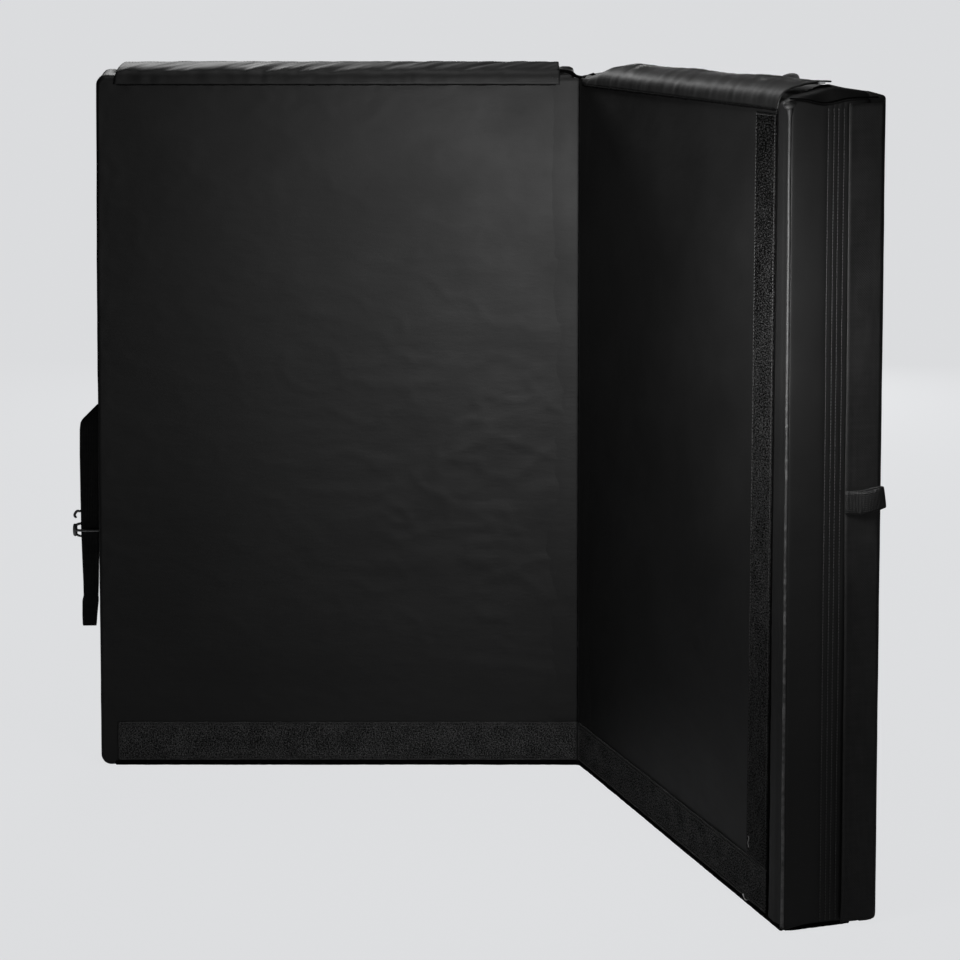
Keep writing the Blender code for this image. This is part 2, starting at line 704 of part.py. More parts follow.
def add_shoulder_strap(panel, side_name, middle_u, materials):
    """A padded strap, its ladder-lock, and the webbing from the lock to the lower anchor."""
    path = shoulder_path()
    half = SHOULDER_PAD_WIDTH / 2
    pad_edges = (middle_u - half, middle_u + half)
    pad_name = f"{side_name}_shoulder_pad"
    band_along_u(panel, pad_name, materials["padding"], path, SHOULDER_PAD_THICKNESS, *pad_edges)
    end_w, end_z = path[-1]
    edges = (middle_u - WEBBING_WIDTH / 2, middle_u + WEBBING_WIDTH / 2)
    lock_top = end_z - LOCK_TAB_LENGTH
    add_ladder_lock(panel, f"{side_name}_ladder_lock", middle_u, end_w, lock_top, materials)
    beside = LOCK_THICKNESS / 2 + SEWN_GAP + WEBBING_THICKNESS / 2
    past_bar = LOCK_BAR + SEWN_GAP + WEBBING_THICKNESS / 2
    # The tab is a loop of webbing that hangs from the pad's end and goes under the lock's top bar.
    tab_top = end_z - SEWN_GAP
    tab_low = lock_top - past_bar
    tab = [
        (end_w - beside, tab_top),
        (end_w - beside, tab_low),
        (end_w + beside, tab_low),
        (end_w + beside, tab_top),
    ]
    tab_name = f"{side_name}_lock_tab"
    band_along_u(panel, tab_name, materials["webbing"], tab, WEBBING_THICKNESS, *edges)
    # The lower webbing comes up behind the lock, turns over its lowest bar and hangs before it.
    lock_low = lock_top - LOCK_HEIGHT
    anchor_w = SEWN_BACK + PATCH_THICKNESS + SEWN_GAP + WEBBING_THICKNESS / 2
    webbing = [
        (anchor_w, LOWER_ANCHOR_HEIGHT - LOWER_ANCHOR_SIZE / 2),
        (anchor_w, LOWER_ANCHOR_HEIGHT + LOWER_ANCHOR_SIZE / 2),
        (end_w - beside, lock_low),
        (end_w - beside, lock_low + past_bar),
        (end_w + beside, lock_low + past_bar),
        (end_w + beside, lock_low - LOWER_TAIL_LENGTH),
    ]
    webbing_name = f"{side_name}_lower_webbing"
    band_along_u(panel, webbing_name, materials["webbing"], webbing, WEBBING_THICKNESS, *edges)
    anchor_name = f"{side_name}_lower_anchor"
    add_square_patch(panel, anchor_name, materials, middle_u, LOWER_ANCHOR_HEIGHT, LOWER_ANCHOR_SIZE)


def hip_root():
    """The w and z of the line that a hip belt half swings about, over its sewn patch."""
    patch = SEWN_BACK + PATCH_THICKNESS + SEWN_GAP
    return patch + WEBBING_THICKNESS / 2, HIP_HEIGHT


def buckle_middle():
    """The w of a buckle half's middle, which hangs before the webbing behind its bar."""
    return hip_root()[0] + WEBBING_THICKNESS / 2 + SEWN_GAP + BUCKLE_FRAME_THICKNESS / 2


def add_hip_webbing(swing, name, middle_u, materials):
    """Webbing that hangs from its root, goes round the buckle's bar and ends folded up before it."""
    root_w, root_z = hip_root()
    around = buckle_middle() + BUCKLE_FRAME_THICKNESS / 2 + SEWN_GAP + WEBBING_THICKNESS / 2
    bar_top = root_z - HIP_WEBBING_LENGTH
    under = bar_top - BUCKLE_BAR - SEWN_GAP - WEBBING_THICKNESS / 2
    path = [(root_w, root_z), (root_w, under), (around, under), (around, bar_top + HIP_FOLD_LENGTH)]
    edges = (middle_u - WEBBING_WIDTH / 2, middle_u + WEBBING_WIDTH / 2)
    band_along_u(swing, name, materials["webbing"], path, WEBBING_THICKNESS, *edges)


def cut_frame_slot(swing, piece, middle_u, top_z, materials):
    """Cut the slot that the webbing goes through, under a buckle half's bar."""
    half = BUCKLE_WIDTH / 2 - BUCKLE_RAIL
    low_z = top_z - BUCKLE_FRAME_HEIGHT + BUCKLE_BAR
    slot = rectangle(middle_u - half, middle_u + half, low_z, top_z - BUCKLE_BAR)
    reach = BUCKLE_FRAME_THICKNESS / 2 + CUT_OVERRUN
    through = (buckle_middle() - reach, buckle_middle() + reach)
    cut_from(piece, plate(swing, f"{piece.name}_slot_cut", materials["plastic"], slot, *through))


def add_buckle_socket(swing, middle_u, materials):
    """The buckle's socket: a thin frame for the webbing over a hollow body that is open below."""
    top_z = hip_root()[1] - HIP_WEBBING_LENGTH
    middle_w = buckle_middle()
    low_u, high_u = middle_u - BUCKLE_WIDTH / 2, middle_u + BUCKLE_WIDTH / 2
    body_top = top_z - BUCKLE_FRAME_HEIGHT
    body_low = body_top - SOCKET_HEIGHT
    body_half = SOCKET_DEPTH / 2
    outline = rectangle(low_u, high_u, body_low, body_top, BUCKLE_CORNER)
    body_edges = (middle_w - body_half, middle_w + body_half)
    socket = plate(swing, "hip_buckle_socket", materials["plastic"], outline, *body_edges)
    frame_half = BUCKLE_FRAME_THICKNESS / 2
    frame = rectangle(low_u, high_u, body_top - SOCKET_JOIN, top_z, BUCKLE_CORNER)
    frame_name = "hip_buckle_socket_frame"
    frame_edges = (middle_w - frame_half, middle_w + frame_half)
    # The frame is a little narrower than the body, so that no faces of the two coincide.
    frame = [(u + (middle_u - u) * SOCKET_WALL / BUCKLE_WIDTH, z) for u, z in frame]
    join_to(socket, plate(swing, frame_name, materials["plastic"], frame, *frame_edges))
    cut_frame_slot(swing, socket, middle_u, top_z, materials)
    hollow = rectangle(
        low_u + SOCKET_WALL, high_u - SOCKET_WALL, body_low - CUT_OVERRUN, body_top - SOCKET_FLOOR
    )
    hollow_half = body_half - SOCKET_WALL
    hollow_edges = (middle_w - hollow_half, middle_w + hollow_half)
    cut_from(socket, plate(swing, "hip_buckle_socket_hollow", materials["plastic"], hollow, *hollow_edges))


def add_buckle_plug(swing, middle_u, materials):
    """The buckle's plug: a frame for the webbing, a middle guide and two barbed side prongs."""
    top_z = hip_root()[1] - HIP_WEBBING_LENGTH
    frame_low = top_z - BUCKLE_FRAME_HEIGHT
    tip_z = frame_low - PRONG_LENGTH
    barb_z = tip_z + PRONG_BARB_LENGTH
    wide = BUCKLE_WIDTH / 2
    prong_out = wide - SOCKET_WALL - PRONG_CLEARANCE - PRONG_BARB
    prong_in = prong_out - SIDE_PRONG_WIDTH
    guide = GUIDE_PRONG_WIDTH / 2
    # Half of the outline, from the top middle round to the guide's tip, mirrored for the other half.
    half_outline = [
        (wide, top_z),
        (wide, frame_low),
        (prong_out, frame_low),
        (prong_out, barb_z),
        (prong_out + PRONG_BARB, barb_z),
        (prong_out, tip_z),
        (prong_in, tip_z),
        (prong_in, frame_low),
        (guide, frame_low),
        (guide, tip_z),
    ]
    mirrored = [(-u, z) for u, z in half_outline[::-1]]
    outline = [(middle_u + u, z) for u, z in half_outline + mirrored]
    reach = BUCKLE_FRAME_THICKNESS / 2
    edges = (buckle_middle() - reach, buckle_middle() + reach)
    plug = plate(swing, "hip_buckle_plug", materials["plastic"], outline, *edges)
    cut_frame_slot(swing, plug, middle_u, top_z, materials)


def add_harness(panel, materials):
    """The carrying harness on the right panel's back, and the two hip belt halves that swing."""
    add_haul_loop(panel, materials)
    add_yoke(panel, materials)
    for side_name, sign in (("inner", -1), ("outer", 1)):
        middle_u = PANEL_MIDDLE + sign * SHOULDER_SPACING / 2
        add_shoulder_strap(panel, side_name, middle_u, materials)
        hip_u = PANEL_MIDDLE + sign * HIP_SPACING / 2
        add_square_patch(panel, f"{side_name}_hip_patch", materials, hip_u, HIP_HEIGHT, HIP_PATCH_SIZE)
        swing = Carrier(f"{side_name}_hip_swing", 1, (hip_u, *hip_root()), panel)
        add_hip_webbing(swing, f"{side_name}_hip_webbing", hip_u, materials)
        if sign < 0:
            add_buckle_socket(swing, hip_u, materials)
        else:
            add_buckle_plug(swing, hip_u, materials)


def make_materials():
    """One material for each finish of the pad."""
    return {
        "coated": make_material("coated_fabric", (0.012, 0.012, 0.013), 0.50),
        "woven": make_material("woven_fabric", (0.010, 0.010, 0.011), 0.80),
        "webbing": make_material("webbing", (0.012, 0.012, 0.013), 0.70),
        "loop": make_material("loop_tape", (0.020, 0.020, 0.021), 0.95),
        "hook": make_material("hook_tape", (0.014, 0.014, 0.014), 0.75),
        "padding": make_material("padded_strap", (0.014, 0.014, 0.015), 0.85),
        "closed_foam": make_material("closed_cell_foam", (0.10, 0.10, 0.11), 0.90),
        "open_foam": make_material("open_cell_foam", (0.60, 0.55, 0.35), 0.95),
        "plastic": make_material("moulded_plastic", (0.015, 0.015, 0.016), 0.40),
        "steel": make_material("hook_steel", (0.45, 0.46, 0.47), 0.30, 1.0),
    }


def stand_on_origin(root):
    """Move the whole pad so that the middle of its base, by its outer box, is at the origin."""
    bpy.context.view_layer.update()
    solids = [item for item in bpy.data.objects if item.type == "MESH" and not item.hide_render]
    points = [item.matrix_world @ vert.co for item in solids for vert in item.data.vertices]
    low = [min(point[axis] for point in points) for axis in range(3)]
    high = [max(point[axis] for point in points) for axis in range(3)]
    root.location = (-(low[0] + high[0]) / 2, -(low[1] + high[1]) / 2, -low[2])
    bpy.context.view_layer.update()


def main():
    """Build the pad about its fold axis, then stand it on the origin."""
    clear_scene()
    materials = make_materials()
    left = Carrier("left_panel", -1)
    right = Carrier("right_panel", 1)
    root = bpy.data.objects.new("crash_pad", None)
    bpy.context.scene.collection.objects.link(root)
    left.empty.parent = root
    right.empty.parent = root
    right.empty.rotation_euler = (0.0, 0.0, -RIGHT_PANEL_TURN)

    add_panel(left, "left", materials)
    add_panel(right, "right", materials)
    add_fold_web(left, materials)
    add_strips(left, right, materials)

    flap_ends = {
        "left": (left, LEFT_FLAP_START, LEFT_FLAP_MARGIN, LEFT_FLAP_RISE, LEFT_FLAP_SWELL_SHARES),
        "right": (right, RIGHT_FLAP_START, RIGHT_FLAP_MARGIN, RIGHT_FLAP_RISE, RIGHT_FLAP_SWELL_SHARES),
    }
    for side_name, (panel, start, margin, rise, swell_shares) in flap_ends.items():
        low_u, high_u = FOLD_HALF_GAP + start, OUTER_END - margin
        turn = Carrier(f"{side_name}_top_flap_turn", panel.side, (low_u, *flap_root()), panel)
        add_top_flap(turn, f"{side_name}_top_flap", materials, low_u, high_u, rise, swell_shares)
        opening = Carrier(f"{side_name}_access_flap_turn", panel.side, (*access_hinge(), 0.0), panel)
        add_access_flap(panel, opening, side_name, materials)
        if side_name == "right":
            loop = Carrier("catch_loop_turn", 1, (*catch_loop_root(), CATCH_LOOP_HEIGHT), opening)
            add_catch_loop(loop, materials)

    swing = Carrier("closure_strap_turn", -1, (*closure_hinge(), CLOSURE_HEIGHT), left)
    add_closure_strap(left, swing, materials)
    slide = Carrier("closure_hook_slide", -1, hook_place(), swing)
    add_closure_hook(slide, materials)
    add_harness(right, materials)
    stand_on_origin(root)


main()
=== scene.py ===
"""A bouldering crash pad that stands half open on its long edges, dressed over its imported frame."""

import math

import bmesh
import bpy
import numpy as np
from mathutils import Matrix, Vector
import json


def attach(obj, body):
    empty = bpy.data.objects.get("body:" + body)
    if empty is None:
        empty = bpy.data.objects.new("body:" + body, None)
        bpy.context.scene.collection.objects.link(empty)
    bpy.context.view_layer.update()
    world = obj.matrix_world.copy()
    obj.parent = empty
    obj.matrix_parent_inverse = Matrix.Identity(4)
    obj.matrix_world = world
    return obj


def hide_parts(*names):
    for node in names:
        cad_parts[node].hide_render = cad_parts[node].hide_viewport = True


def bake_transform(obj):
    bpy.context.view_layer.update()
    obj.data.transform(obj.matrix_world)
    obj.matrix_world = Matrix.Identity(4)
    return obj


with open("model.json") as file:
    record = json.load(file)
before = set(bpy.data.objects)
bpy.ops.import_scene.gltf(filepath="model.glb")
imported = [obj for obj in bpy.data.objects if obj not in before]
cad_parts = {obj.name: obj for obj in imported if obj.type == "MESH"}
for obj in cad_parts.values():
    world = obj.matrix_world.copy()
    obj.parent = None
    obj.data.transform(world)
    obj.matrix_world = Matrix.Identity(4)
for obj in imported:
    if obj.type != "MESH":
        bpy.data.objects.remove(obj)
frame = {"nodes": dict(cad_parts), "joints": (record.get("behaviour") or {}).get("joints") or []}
bpy.context.scene.view_settings.view_transform = "Standard"
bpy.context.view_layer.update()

# The panels, in metres
LENGTH = 0.617
HEIGHT = 0.904
FOLD_GAP = 0.0015
OUTER_END = FOLD_GAP + LENGTH
MIDDLE = FOLD_GAP + LENGTH / 2
FACE_W = 0.004
BACK_W = 0.1235
SEAM_W = 0.0982
FACE_CROWN = 0.0025

# Webbing and patches sewn to the back
SEWN_BACK = 0.1238
PATCH_THICK = 0.0012
CLEAR = 0.0003
WEBBING = 0.0254
WEB_THICK = 0.0016
SEWN_WEB_W = SEWN_BACK + PATCH_THICK + CLEAR + WEB_THICK / 2

# The photograph's own view: level sideways, a little down, from in front of the left panel
CAMERA_PLACE = (0.056, -3.0875, 1.0476)
CAMERA_TILT = 85.229
CAMERA_LENS = 97.26
CAMERA_SHIFT = -0.3139

# Each softbox: its place, the point that it faces, its size in metres and its power in watts
SOFTBOXES = {
    "front_softbox": ((0.19, -0.52, 0.71), (0.08, 0.20, 0.56), 0.30, 4.7),
    "fill_softbox": ((0.90, -1.90, 0.8), (0.35, -0.35, 0.5), 0.60, 4.0),
    "top_softbox": ((0.1, 0.0, 2.0), (0.1, 0.1, 0.9), 0.80, 5.6),
    "back_softbox": ((-0.5, 1.6, 1.7), (0.28, -0.05, 0.9), 0.50, 8.0),
    "rear_softbox": ((0.35, 3.6, 0.75), (0.2, 0.2, 0.45), 1.00, 80.0),
}
SKY_STRENGTH = 0.022
FLOOR_REACH = 400.0
FLOOR_Z = -0.0012
FLOOR_SEEN = (0.770, 0.778, 0.794, 1.0)
FLOOR_MATT = (0.42, 0.425, 0.435, 1.0)
FLOOR_GLOW = 0.92


# Camera, floor and light
def add_camera():
    """The camera, with a lens shift that keeps the upright edges upright."""
    camera = bpy.data.objects.new("camera", bpy.data.cameras.new("camera"))
    camera.data.lens = CAMERA_LENS
    camera.data.sensor_width = 36.0
    camera.data.shift_y = CAMERA_SHIFT
    camera.location = CAMERA_PLACE
    camera.rotation_euler = (math.radians(CAMERA_TILT), 0.0, 0.0)
    bpy.context.scene.collection.objects.link(camera)
    bpy.context.scene.camera = camera


def add_floor():
    """A plain pale floor that keeps the pad's shadow."""
    mesh = bpy.data.meshes.new("floor")
    far = FLOOR_REACH
    mesh.from_pydata([(-far, -far, 0), (far, -far, 0), (far, far, 0), (-far, far, 0)], [], [(0, 1, 2, 3)])
    floor = bpy.data.objects.new("floor", mesh)
    floor.location.z = FLOOR_Z
    bpy.context.scene.collection.objects.link(floor)
    material = bpy.data.materials.new("pale_floor")
    material.use_nodes = True
    tree = material.node_tree
    tree.nodes.clear()
    out = tree.nodes.new("ShaderNodeOutputMaterial")
    mix = tree.nodes.new("ShaderNodeMixShader")
    matt = tree.nodes.new("ShaderNodeBsdfDiffuse")
    glow = tree.nodes.new("ShaderNodeEmission")
    path = tree.nodes.new("ShaderNodeLightPath")
    seen = tree.nodes.new("ShaderNodeMath")
    seen.operation = "MULTIPLY"
    seen.inputs[1].default_value = FLOOR_GLOW
    matt.inputs["Color"].default_value = FLOOR_MATT
    glow.inputs["Color"].default_value = FLOOR_SEEN
    tree.links.new(path.outputs["Is Camera Ray"], seen.inputs[0])
    tree.links.new(seen.outputs[0], mix.inputs[0])
    tree.links.new(matt.outputs[0], mix.inputs[1])
    tree.links.new(glow.outputs[0], mix.inputs[2])
    tree.links.new(mix.outputs[0], out.inputs["Surface"])
    mesh.materials.append(material)


def add_light():
    """Square softboxes, and an even, low light from all round."""
    world = bpy.data.worlds.new("studio")
    bpy.context.scene.world = world
    world.use_nodes = True
    sky = world.node_tree.nodes["Background"]
    sky.inputs["Color"].default_value = (1.0, 1.0, 1.0, 1.0)
    sky.inputs["Strength"].default_value = SKY_STRENGTH
    for name, (place, aim, size, power) in SOFTBOXES.items():
        data = bpy.data.lights.new(name, "AREA")
        data.shape = "SQUARE"
        data.size = size
        data.energy = power
        lamp = bpy.data.objects.new(name, data)
        lamp.location = place
        lamp.rotation_euler = (Vector(aim) - Vector(place)).to_track_quat("-Z", "Y").to_euler()
        bpy.context.scene.collection.objects.link(lamp)


# Finishes
class Finish:
    """A material's node tree, with short calls to add and join its nodes."""

    def __init__(self, name):
        self.material = bpy.data.materials.new(name)
        self.material.use_nodes = True
        self.tree = self.material.node_tree
        self.shader = self.tree.nodes["Principled BSDF"]
        self.height = None

    def node(self, kind, **inputs):
        made = self.tree.nodes.new(kind)
        for key, value in inputs.items():
            made.inputs[key.replace("_", " ")].default_value = value
        return made

    def join(self, out, into):
        self.tree.links.new(out, into)

    def math(self, operation, first, second=None):
        made = self.tree.nodes.new("ShaderNodeMath")
        made.operation = operation
        for index, value in enumerate((first, second)):
            if value is None:
                continue
            if isinstance(value, (int, float)):
                made.inputs[index].default_value = value
            else:
                self.join(value, made.inputs[index])
        return made.outputs[0]

    def weighed(self, *parts):
        """The sum of some values, each times its own weight."""
        total = None
        for value, weight in parts:
            part = self.math("MULTIPLY", value, weight)
            total = self.math("ADD", total, part) if total else part
        return total

    def object_place(self):
        return self.node("ShaderNodeTexCoord").outputs["Object"]

    def cloth_place(self):
        made = self.node("ShaderNodeUVMap")
        made.uv_map = "cloth"
        return made.outputs["UV"]

    def parts_of(self, place):
        split = self.node("ShaderNodeSeparateXYZ")
        self.join(place, split.inputs[0])
        return split.outputs

    def noise(self, place, scale, detail=4.0, rough=0.6, stretch=None):
        if stretch:
            turn = self.node("ShaderNodeMapping", Scale=stretch)
            self.join(place, turn.inputs["Vector"])
            place = turn.outputs["Vector"]
        made = self.node("ShaderNodeTexNoise", Scale=scale, Detail=detail, Roughness=rough)
        self.join(place, made.inputs["Vector"])
        return made.outputs["Fac"]

    def cells(self, place, scale):
        made = self.node("ShaderNodeTexVoronoi", Scale=scale)
        self.join(place, made.inputs["Vector"])
        return made.outputs["Distance"]

    def spread(self, value, low, high, to_low, to_high):
        made = self.node("ShaderNodeMapRange")
        made.inputs["From Min"].default_value = low
        made.inputs["From Max"].default_value = high
        made.inputs["To Min"].default_value = to_low
        made.inputs["To Max"].default_value = to_high
        self.join(value, made.inputs["Value"])
        return made.outputs["Result"]

    def colour(self, value, *stops):
        """Base colour along a value; each stop has a place and a grey level or a colour."""
        ramp = self.node("ShaderNodeValToRGB")
        self.join(value, ramp.inputs["Fac"])
        for index, (place, level) in enumerate(stops):
            if index < 2:
                stop = ramp.color_ramp.elements[index]
                stop.position = place
            else:
                stop = ramp.color_ramp.elements.new(place)
            stop.color = (*level, 1.0) if isinstance(level, tuple) else (level, level, level, 1.0)
        self.join(ramp.outputs["Color"], self.shader.inputs["Base Color"])

    def rough(self, value, low, high, to_low, to_high):
        self.join(self.spread(value, low, high, to_low, to_high), self.shader.inputs["Roughness"])

    def bump(self, height, distance, strength=1.0):
        made = self.node("ShaderNodeBump", Strength=strength, Distance=distance)
        self.join(height, made.inputs["Height"])
        if self.height:
            self.join(self.height, made.inputs["Normal"])
        self.height = made.outputs["Normal"]

    def done(self, **sockets):
        for key, value in sockets.items():
            self.shader.inputs[key.replace("_", " ")].default_value = value
        self.join(self.height, self.shader.inputs["Normal"])
        return self.material


def woven_height(finish, across, along):
    """Threads that go over and under each other, at the given pitches in metres."""
    parts = finish.parts_of(finish.cloth_place())
    waves = []
    for name, pitch in (("X", across), ("Y", along)):
        turned = finish.math("MULTIPLY", parts[name], math.pi / pitch)
        waves.append(finish.math("SINE", turned))
    return finish.math("MULTIPLY", *waves)


def coated_finish():
    """Smooth coated fabric: soft sheen, cloudy colour, faint grain and fine creases."""
    made = Finish("coated_fabric")
    place = made.object_place()
    cloud = made.noise(place, 7.0, 5.0)
    grain = made.noise(place, 520.0, 3.0)
    crease = made.noise(place, 26.0, 5.0, 0.62, (0.5, 0.5, 1.5))
    made.colour(made.weighed((cloud, 0.7), (grain, 0.3)), (0.34, 0.0009), (0.66, 0.0019))
    made.rough(cloud, 0.35, 0.65, 0.56, 0.63)
    made.bump(crease, 0.0016, 0.35)
    made.bump(woven_height(made, 0.0011, 0.0011), 0.00004, 0.5)
    made.bump(grain, 0.0003, 0.25)
    return made.done(Specular_IOR_Level=0.40)


def woven_finish():
    """Coarser woven fabric of the back and the foam flaps: a faint grid of threads and slubs."""
    made = Finish("woven_fabric")
    place = made.object_place()
    threads = woven_height(made, 0.0014, 0.0014)
    slub = made.noise(made.cloth_place(), 240.0, 2.0, 0.6, (1.0, 0.12, 1.0))
    cross = made.noise(made.cloth_place(), 240.0, 2.0, 0.6, (0.12, 1.0, 1.0))
    cloud = made.noise(place, 9.0)
    tone = made.weighed((threads, 0.10), (cloud, 0.40), (made.math("ADD", slub, cross), 0.30))
    made.colour(tone, (0.38, 0.0045), (0.64, 0.0165))
    made.rough(cloud, 0.35, 0.65, 0.56, 0.68)
    made.bump(made.noise(place, 30.0), 0.0014, 0.3)
    made.bump(threads, 0.00016, 0.8)
    return made.done(Specular_IOR_Level=0.32)


def webbing_finish():
    """Flat woven webbing: close ribs across its length and softer lines along it."""
    made = Finish("webbing")
    parts = made.parts_of(made.cloth_place())
    ribs = made.math("SINE", made.math("MULTIPLY", parts["Y"], 2 * math.pi / 0.0016))
    lines_along = made.math("SINE", made.math("MULTIPLY", parts["X"], 2 * math.pi / 0.0021))
    height = made.math("ADD", ribs, made.math("MULTIPLY", lines_along, 0.5))
    wear = made.noise(made.object_place(), 60.0)
    made.colour(made.math("ADD", made.math("MULTIPLY", height, 0.06), wear), (0.36, 0.0016), (0.66, 0.0056))
    made.rough(wear, 0.35, 0.65, 0.42, 0.56)
    made.bump(height, 0.00022, 0.8)
    return made.done(Specular_IOR_Level=0.40)


def pile_finish(name, low, high, scale, depth, lighter_below=0.0, stretch=None):
    """Loop or hook tape: a speckled pile with bright thread tips, lighter toward the ground and darker toward
    the top where asked.
    """
    made = Finish(name)
    place = made.cloth_place()
    fuzz = made.noise(place, scale, 6.0, 0.75, stretch)
    tips = made.noise(place, scale * 1.9, 2.0, 0.5, stretch)
    patch = made.noise(made.object_place(), 40.0, 3.0)
    tone = made.weighed((fuzz, 0.58), (tips, 0.34), (patch, 0.08))
    if lighter_below:
        height = made.parts_of(made.object_place())["Z"]
        tone = made.math("ADD", tone, made.spread(height, 0.05, 0.90, lighter_below, -lighter_below))
    made.colour(tone, (0.45, low), (0.51, high), (0.58, high * 4.5))
    made.rough(fuzz, 0.3, 0.7, 0.72, 0.92)
    made.join(made.spread(tone, 0.44, 0.60, 0.0, 0.12), made.shader.inputs["Specular IOR Level"])
    made.bump(fuzz, depth, 0.8)
    return made.done()


def padded_finish():
    """Air-mesh cloth of the shoulder pads: a small honeycomb of holes."""
    made = Finish("padded_strap")
    hole = made.spread(made.cells(made.cloth_place(), 430.0), 0.10, 0.48, 0.0, 1.0)
    cloud = made.noise(made.object_place(), 22.0, 3.0)
    made.colour(made.weighed((hole, 0.5), (cloud, 0.5)), (0.25, 0.0050), (0.75, 0.0135))
    made.rough(cloud, 0.35, 0.65, 0.70, 0.82)
    made.bump(hole, 0.0005, 0.7)
    return made.done(Specular_IOR_Level=0.25)


def foam_finish(name, low, high, scale, depth):
    """Cut foam with small cells."""
    made = Finish(name)
    cells = made.cells(made.object_place(), scale)
    cloud = made.noise(made.object_place(), 12.0)
    made.colour(made.weighed((cells, 0.6), (cloud, 0.5)), (0.25, low), (0.75, high))
    made.rough(cloud, 0.3, 0.7, 0.82, 0.94)
    made.bump(cells, depth, 0.7)
    return made.done(Specular_IOR_Level=0.3)


def rubbed_finish(name, rub, grain, stops, rough, relief, **sockets):
    """A surface with rubbed spots and a fine grain; rub and grain are the settings of their noise."""
    made = Finish(name)
    rubbed = made.noise(made.object_place(), *rub)
    made.colour(rubbed, *stops)
    made.rough(rubbed, 0.3, 0.7, *rough)
    made.bump(made.noise(made.object_place(), *grain), *relief)
    return made.done(**sockets)


def plain_cloth_finish(name, low, high, rough, sheen, wear=0.0):
    """A narrow strip of cloth: a binding, a selvedge, a thread, or a fold whose lighter colour is a painted
    highlight; lighter toward the ground where asked.
    """
    made = Finish(name)
    rub = made.noise(made.object_place(), 150.0, 4.0, 0.65)
    grain = made.noise(made.object_place(), 900.0, 2.0, 0.5)
    tone = rub
    # Where asked, the colour grows lighter toward the ground; on the corner fold this is part of its painted
    # highlight
    if wear:
        height = made.parts_of(made.object_place())["Z"]
        tone = made.math("ADD", rub, made.spread(height, 0.0, 0.75, wear, 0.0))
    made.colour(tone, (0.36, low), (0.66, high), (0.96, high * 4.0))
    made.rough(rub, 0.3, 0.7, rough - 0.06, rough + 0.06)
    made.bump(grain, 0.0003, 0.5)
    return made.done(Specular_IOR_Level=sheen)


def plastic_finish():
    """Moulded black plastic with a fine spark texture and slightly rubbed roughness."""
    stops = ((0.35, 0.0085), (0.70, 0.0135))
    spark = (2600.0, 2.0, 0.5)
    rough, relief = (0.34, 0.50), (0.00006, 0.5)
    return rubbed_finish("moulded_plastic", (90.0,), spark, stops, rough, relief, Specular_IOR_Level=0.5)


def steel_finish():
    """Bright drawn wire with faint lines and rubbed spots."""
    stops = ((0.35, 0.22), (0.65, 0.38))
    drawn = (900.0, 3.0, 0.6, (1.0, 1.0, 0.2))
    rough, relief = (0.22, 0.38), (0.00005, 0.4)
    return rubbed_finish("hook_steel", (160.0,), drawn, stops, rough, relief, Metallic=1.0)


def thread_finish():
    """Sewing thread, twisted, a little lighter than the cloth."""
    stops = ((0.35, 0.020), (0.65, 0.050))
    twist = (1400.0, 2.0)
    rough, relief = (0.55, 0.75), (0.0002, 0.5)
    return rubbed_finish("sewing_thread", twist, twist, stops, rough, relief, Specular_IOR_Level=0.35)


CLOSED_FOAM = (0.07, 0.13, 700.0, 0.0002)
OPEN_FOAM = ((0.48, 0.43, 0.27), (0.68, 0.62, 0.42), 900.0, 0.0005)

# Each finish with its material and the name of a slot, which no piece is given
FINISHES = {
    "coated": (coated_finish(), "coated_fabric"),
    "woven": (woven_finish(), "woven_fabric"),
    "webbing": (webbing_finish(), "webbing"),
    # The side strip's loop tape grows lighter toward the ground; the bottom strips' loop tape is paler all
    # over
    "loop": (pile_finish("loop_tape", 0.0006, 0.0070, 560.0, 0.0012, 0.035, (1.0, 0.42, 1.0)), "loop_tape"),
    "paler_loop": (pile_finish("pale_loop_tape", 0.0030, 0.0225, 520.0, 0.0012), "loop_tape"),
    "hook": (pile_finish("hook_tape", 0.0012, 0.0060, 1300.0, 0.0008), "hook_tape"),
    "padded": (padded_finish(), "padded_strap"),
    "closed_foam": (foam_finish("closed_cell_foam", *CLOSED_FOAM), "closed_cell_foam"),
    "open_foam": (foam_finish("open_cell_foam", *OPEN_FOAM), "open_cell_foam"),
    "plastic": (plastic_finish(), "moulded_plastic"),
    "steel": (steel_finish(), "hook_steel"),
    "binding": (plain_cloth_finish("dark_binding", 0.0006, 0.0014, 0.86, 0.04), "coated_fabric"),
    "selvedge": (plain_cloth_finish("strip_selvedge", 0.0100, 0.0320, 0.66, 0.15, 0.10), "loop_tape"),
    "dull_selvedge": (plain_cloth_finish("dull_selvedge", 0.0030, 0.0100, 0.70, 0.10, 0.10), "loop_tape"),
    "thread": (plain_cloth_finish("loose_thread", 0.1600, 0.4000, 0.60, 0.30), "loop_tape"),
    # The corner fold's colour, far lighter than the coated cloth it is made of, is a painted highlight
    "painted_highlight": (plain_cloth_finish("corner_highlight_cloth", 0.0100, 0.0240, 0.54, 0.40, 0.42), "coated_fabric"),
}


# Shapes
class PanelSide:
    """One panel's own directions: u along it from the fold, w back through its depth, z up."""

    def __init__(self, name, origin, along, back):
        self.name = name
        self.body = f"{name}_panel"
        self.origin = np.array([origin[0], origin[1], 0.0])
        self.along = np.array(along, float)
        self.back = np.array(back, float)

    def places(self, points):
        """World places of points given in the panel's directions."""
        points = np.asarray(points, float)
        up = np.array([0.0, 0.0, 1.0])
        return self.origin + points[:, :1] * self.along + points[:, 1:2] * self.back + points[:, 2:] * up


def hash_turn(cells, seed):
    """A repeatable whole number, 0 to 65535, for each whole-number cell."""
    key = cells[:, 0] * 374761393 + cells[:, 1] * 668265263 + cells[:, 2] * 2246822519 + seed * 3266489917
    key = (key ^ (key >> 13)) * 1274126177
    key = (key ^ (key >> 16)) * 974711
    return (key ^ (key >> 15)) & 0xFFFF


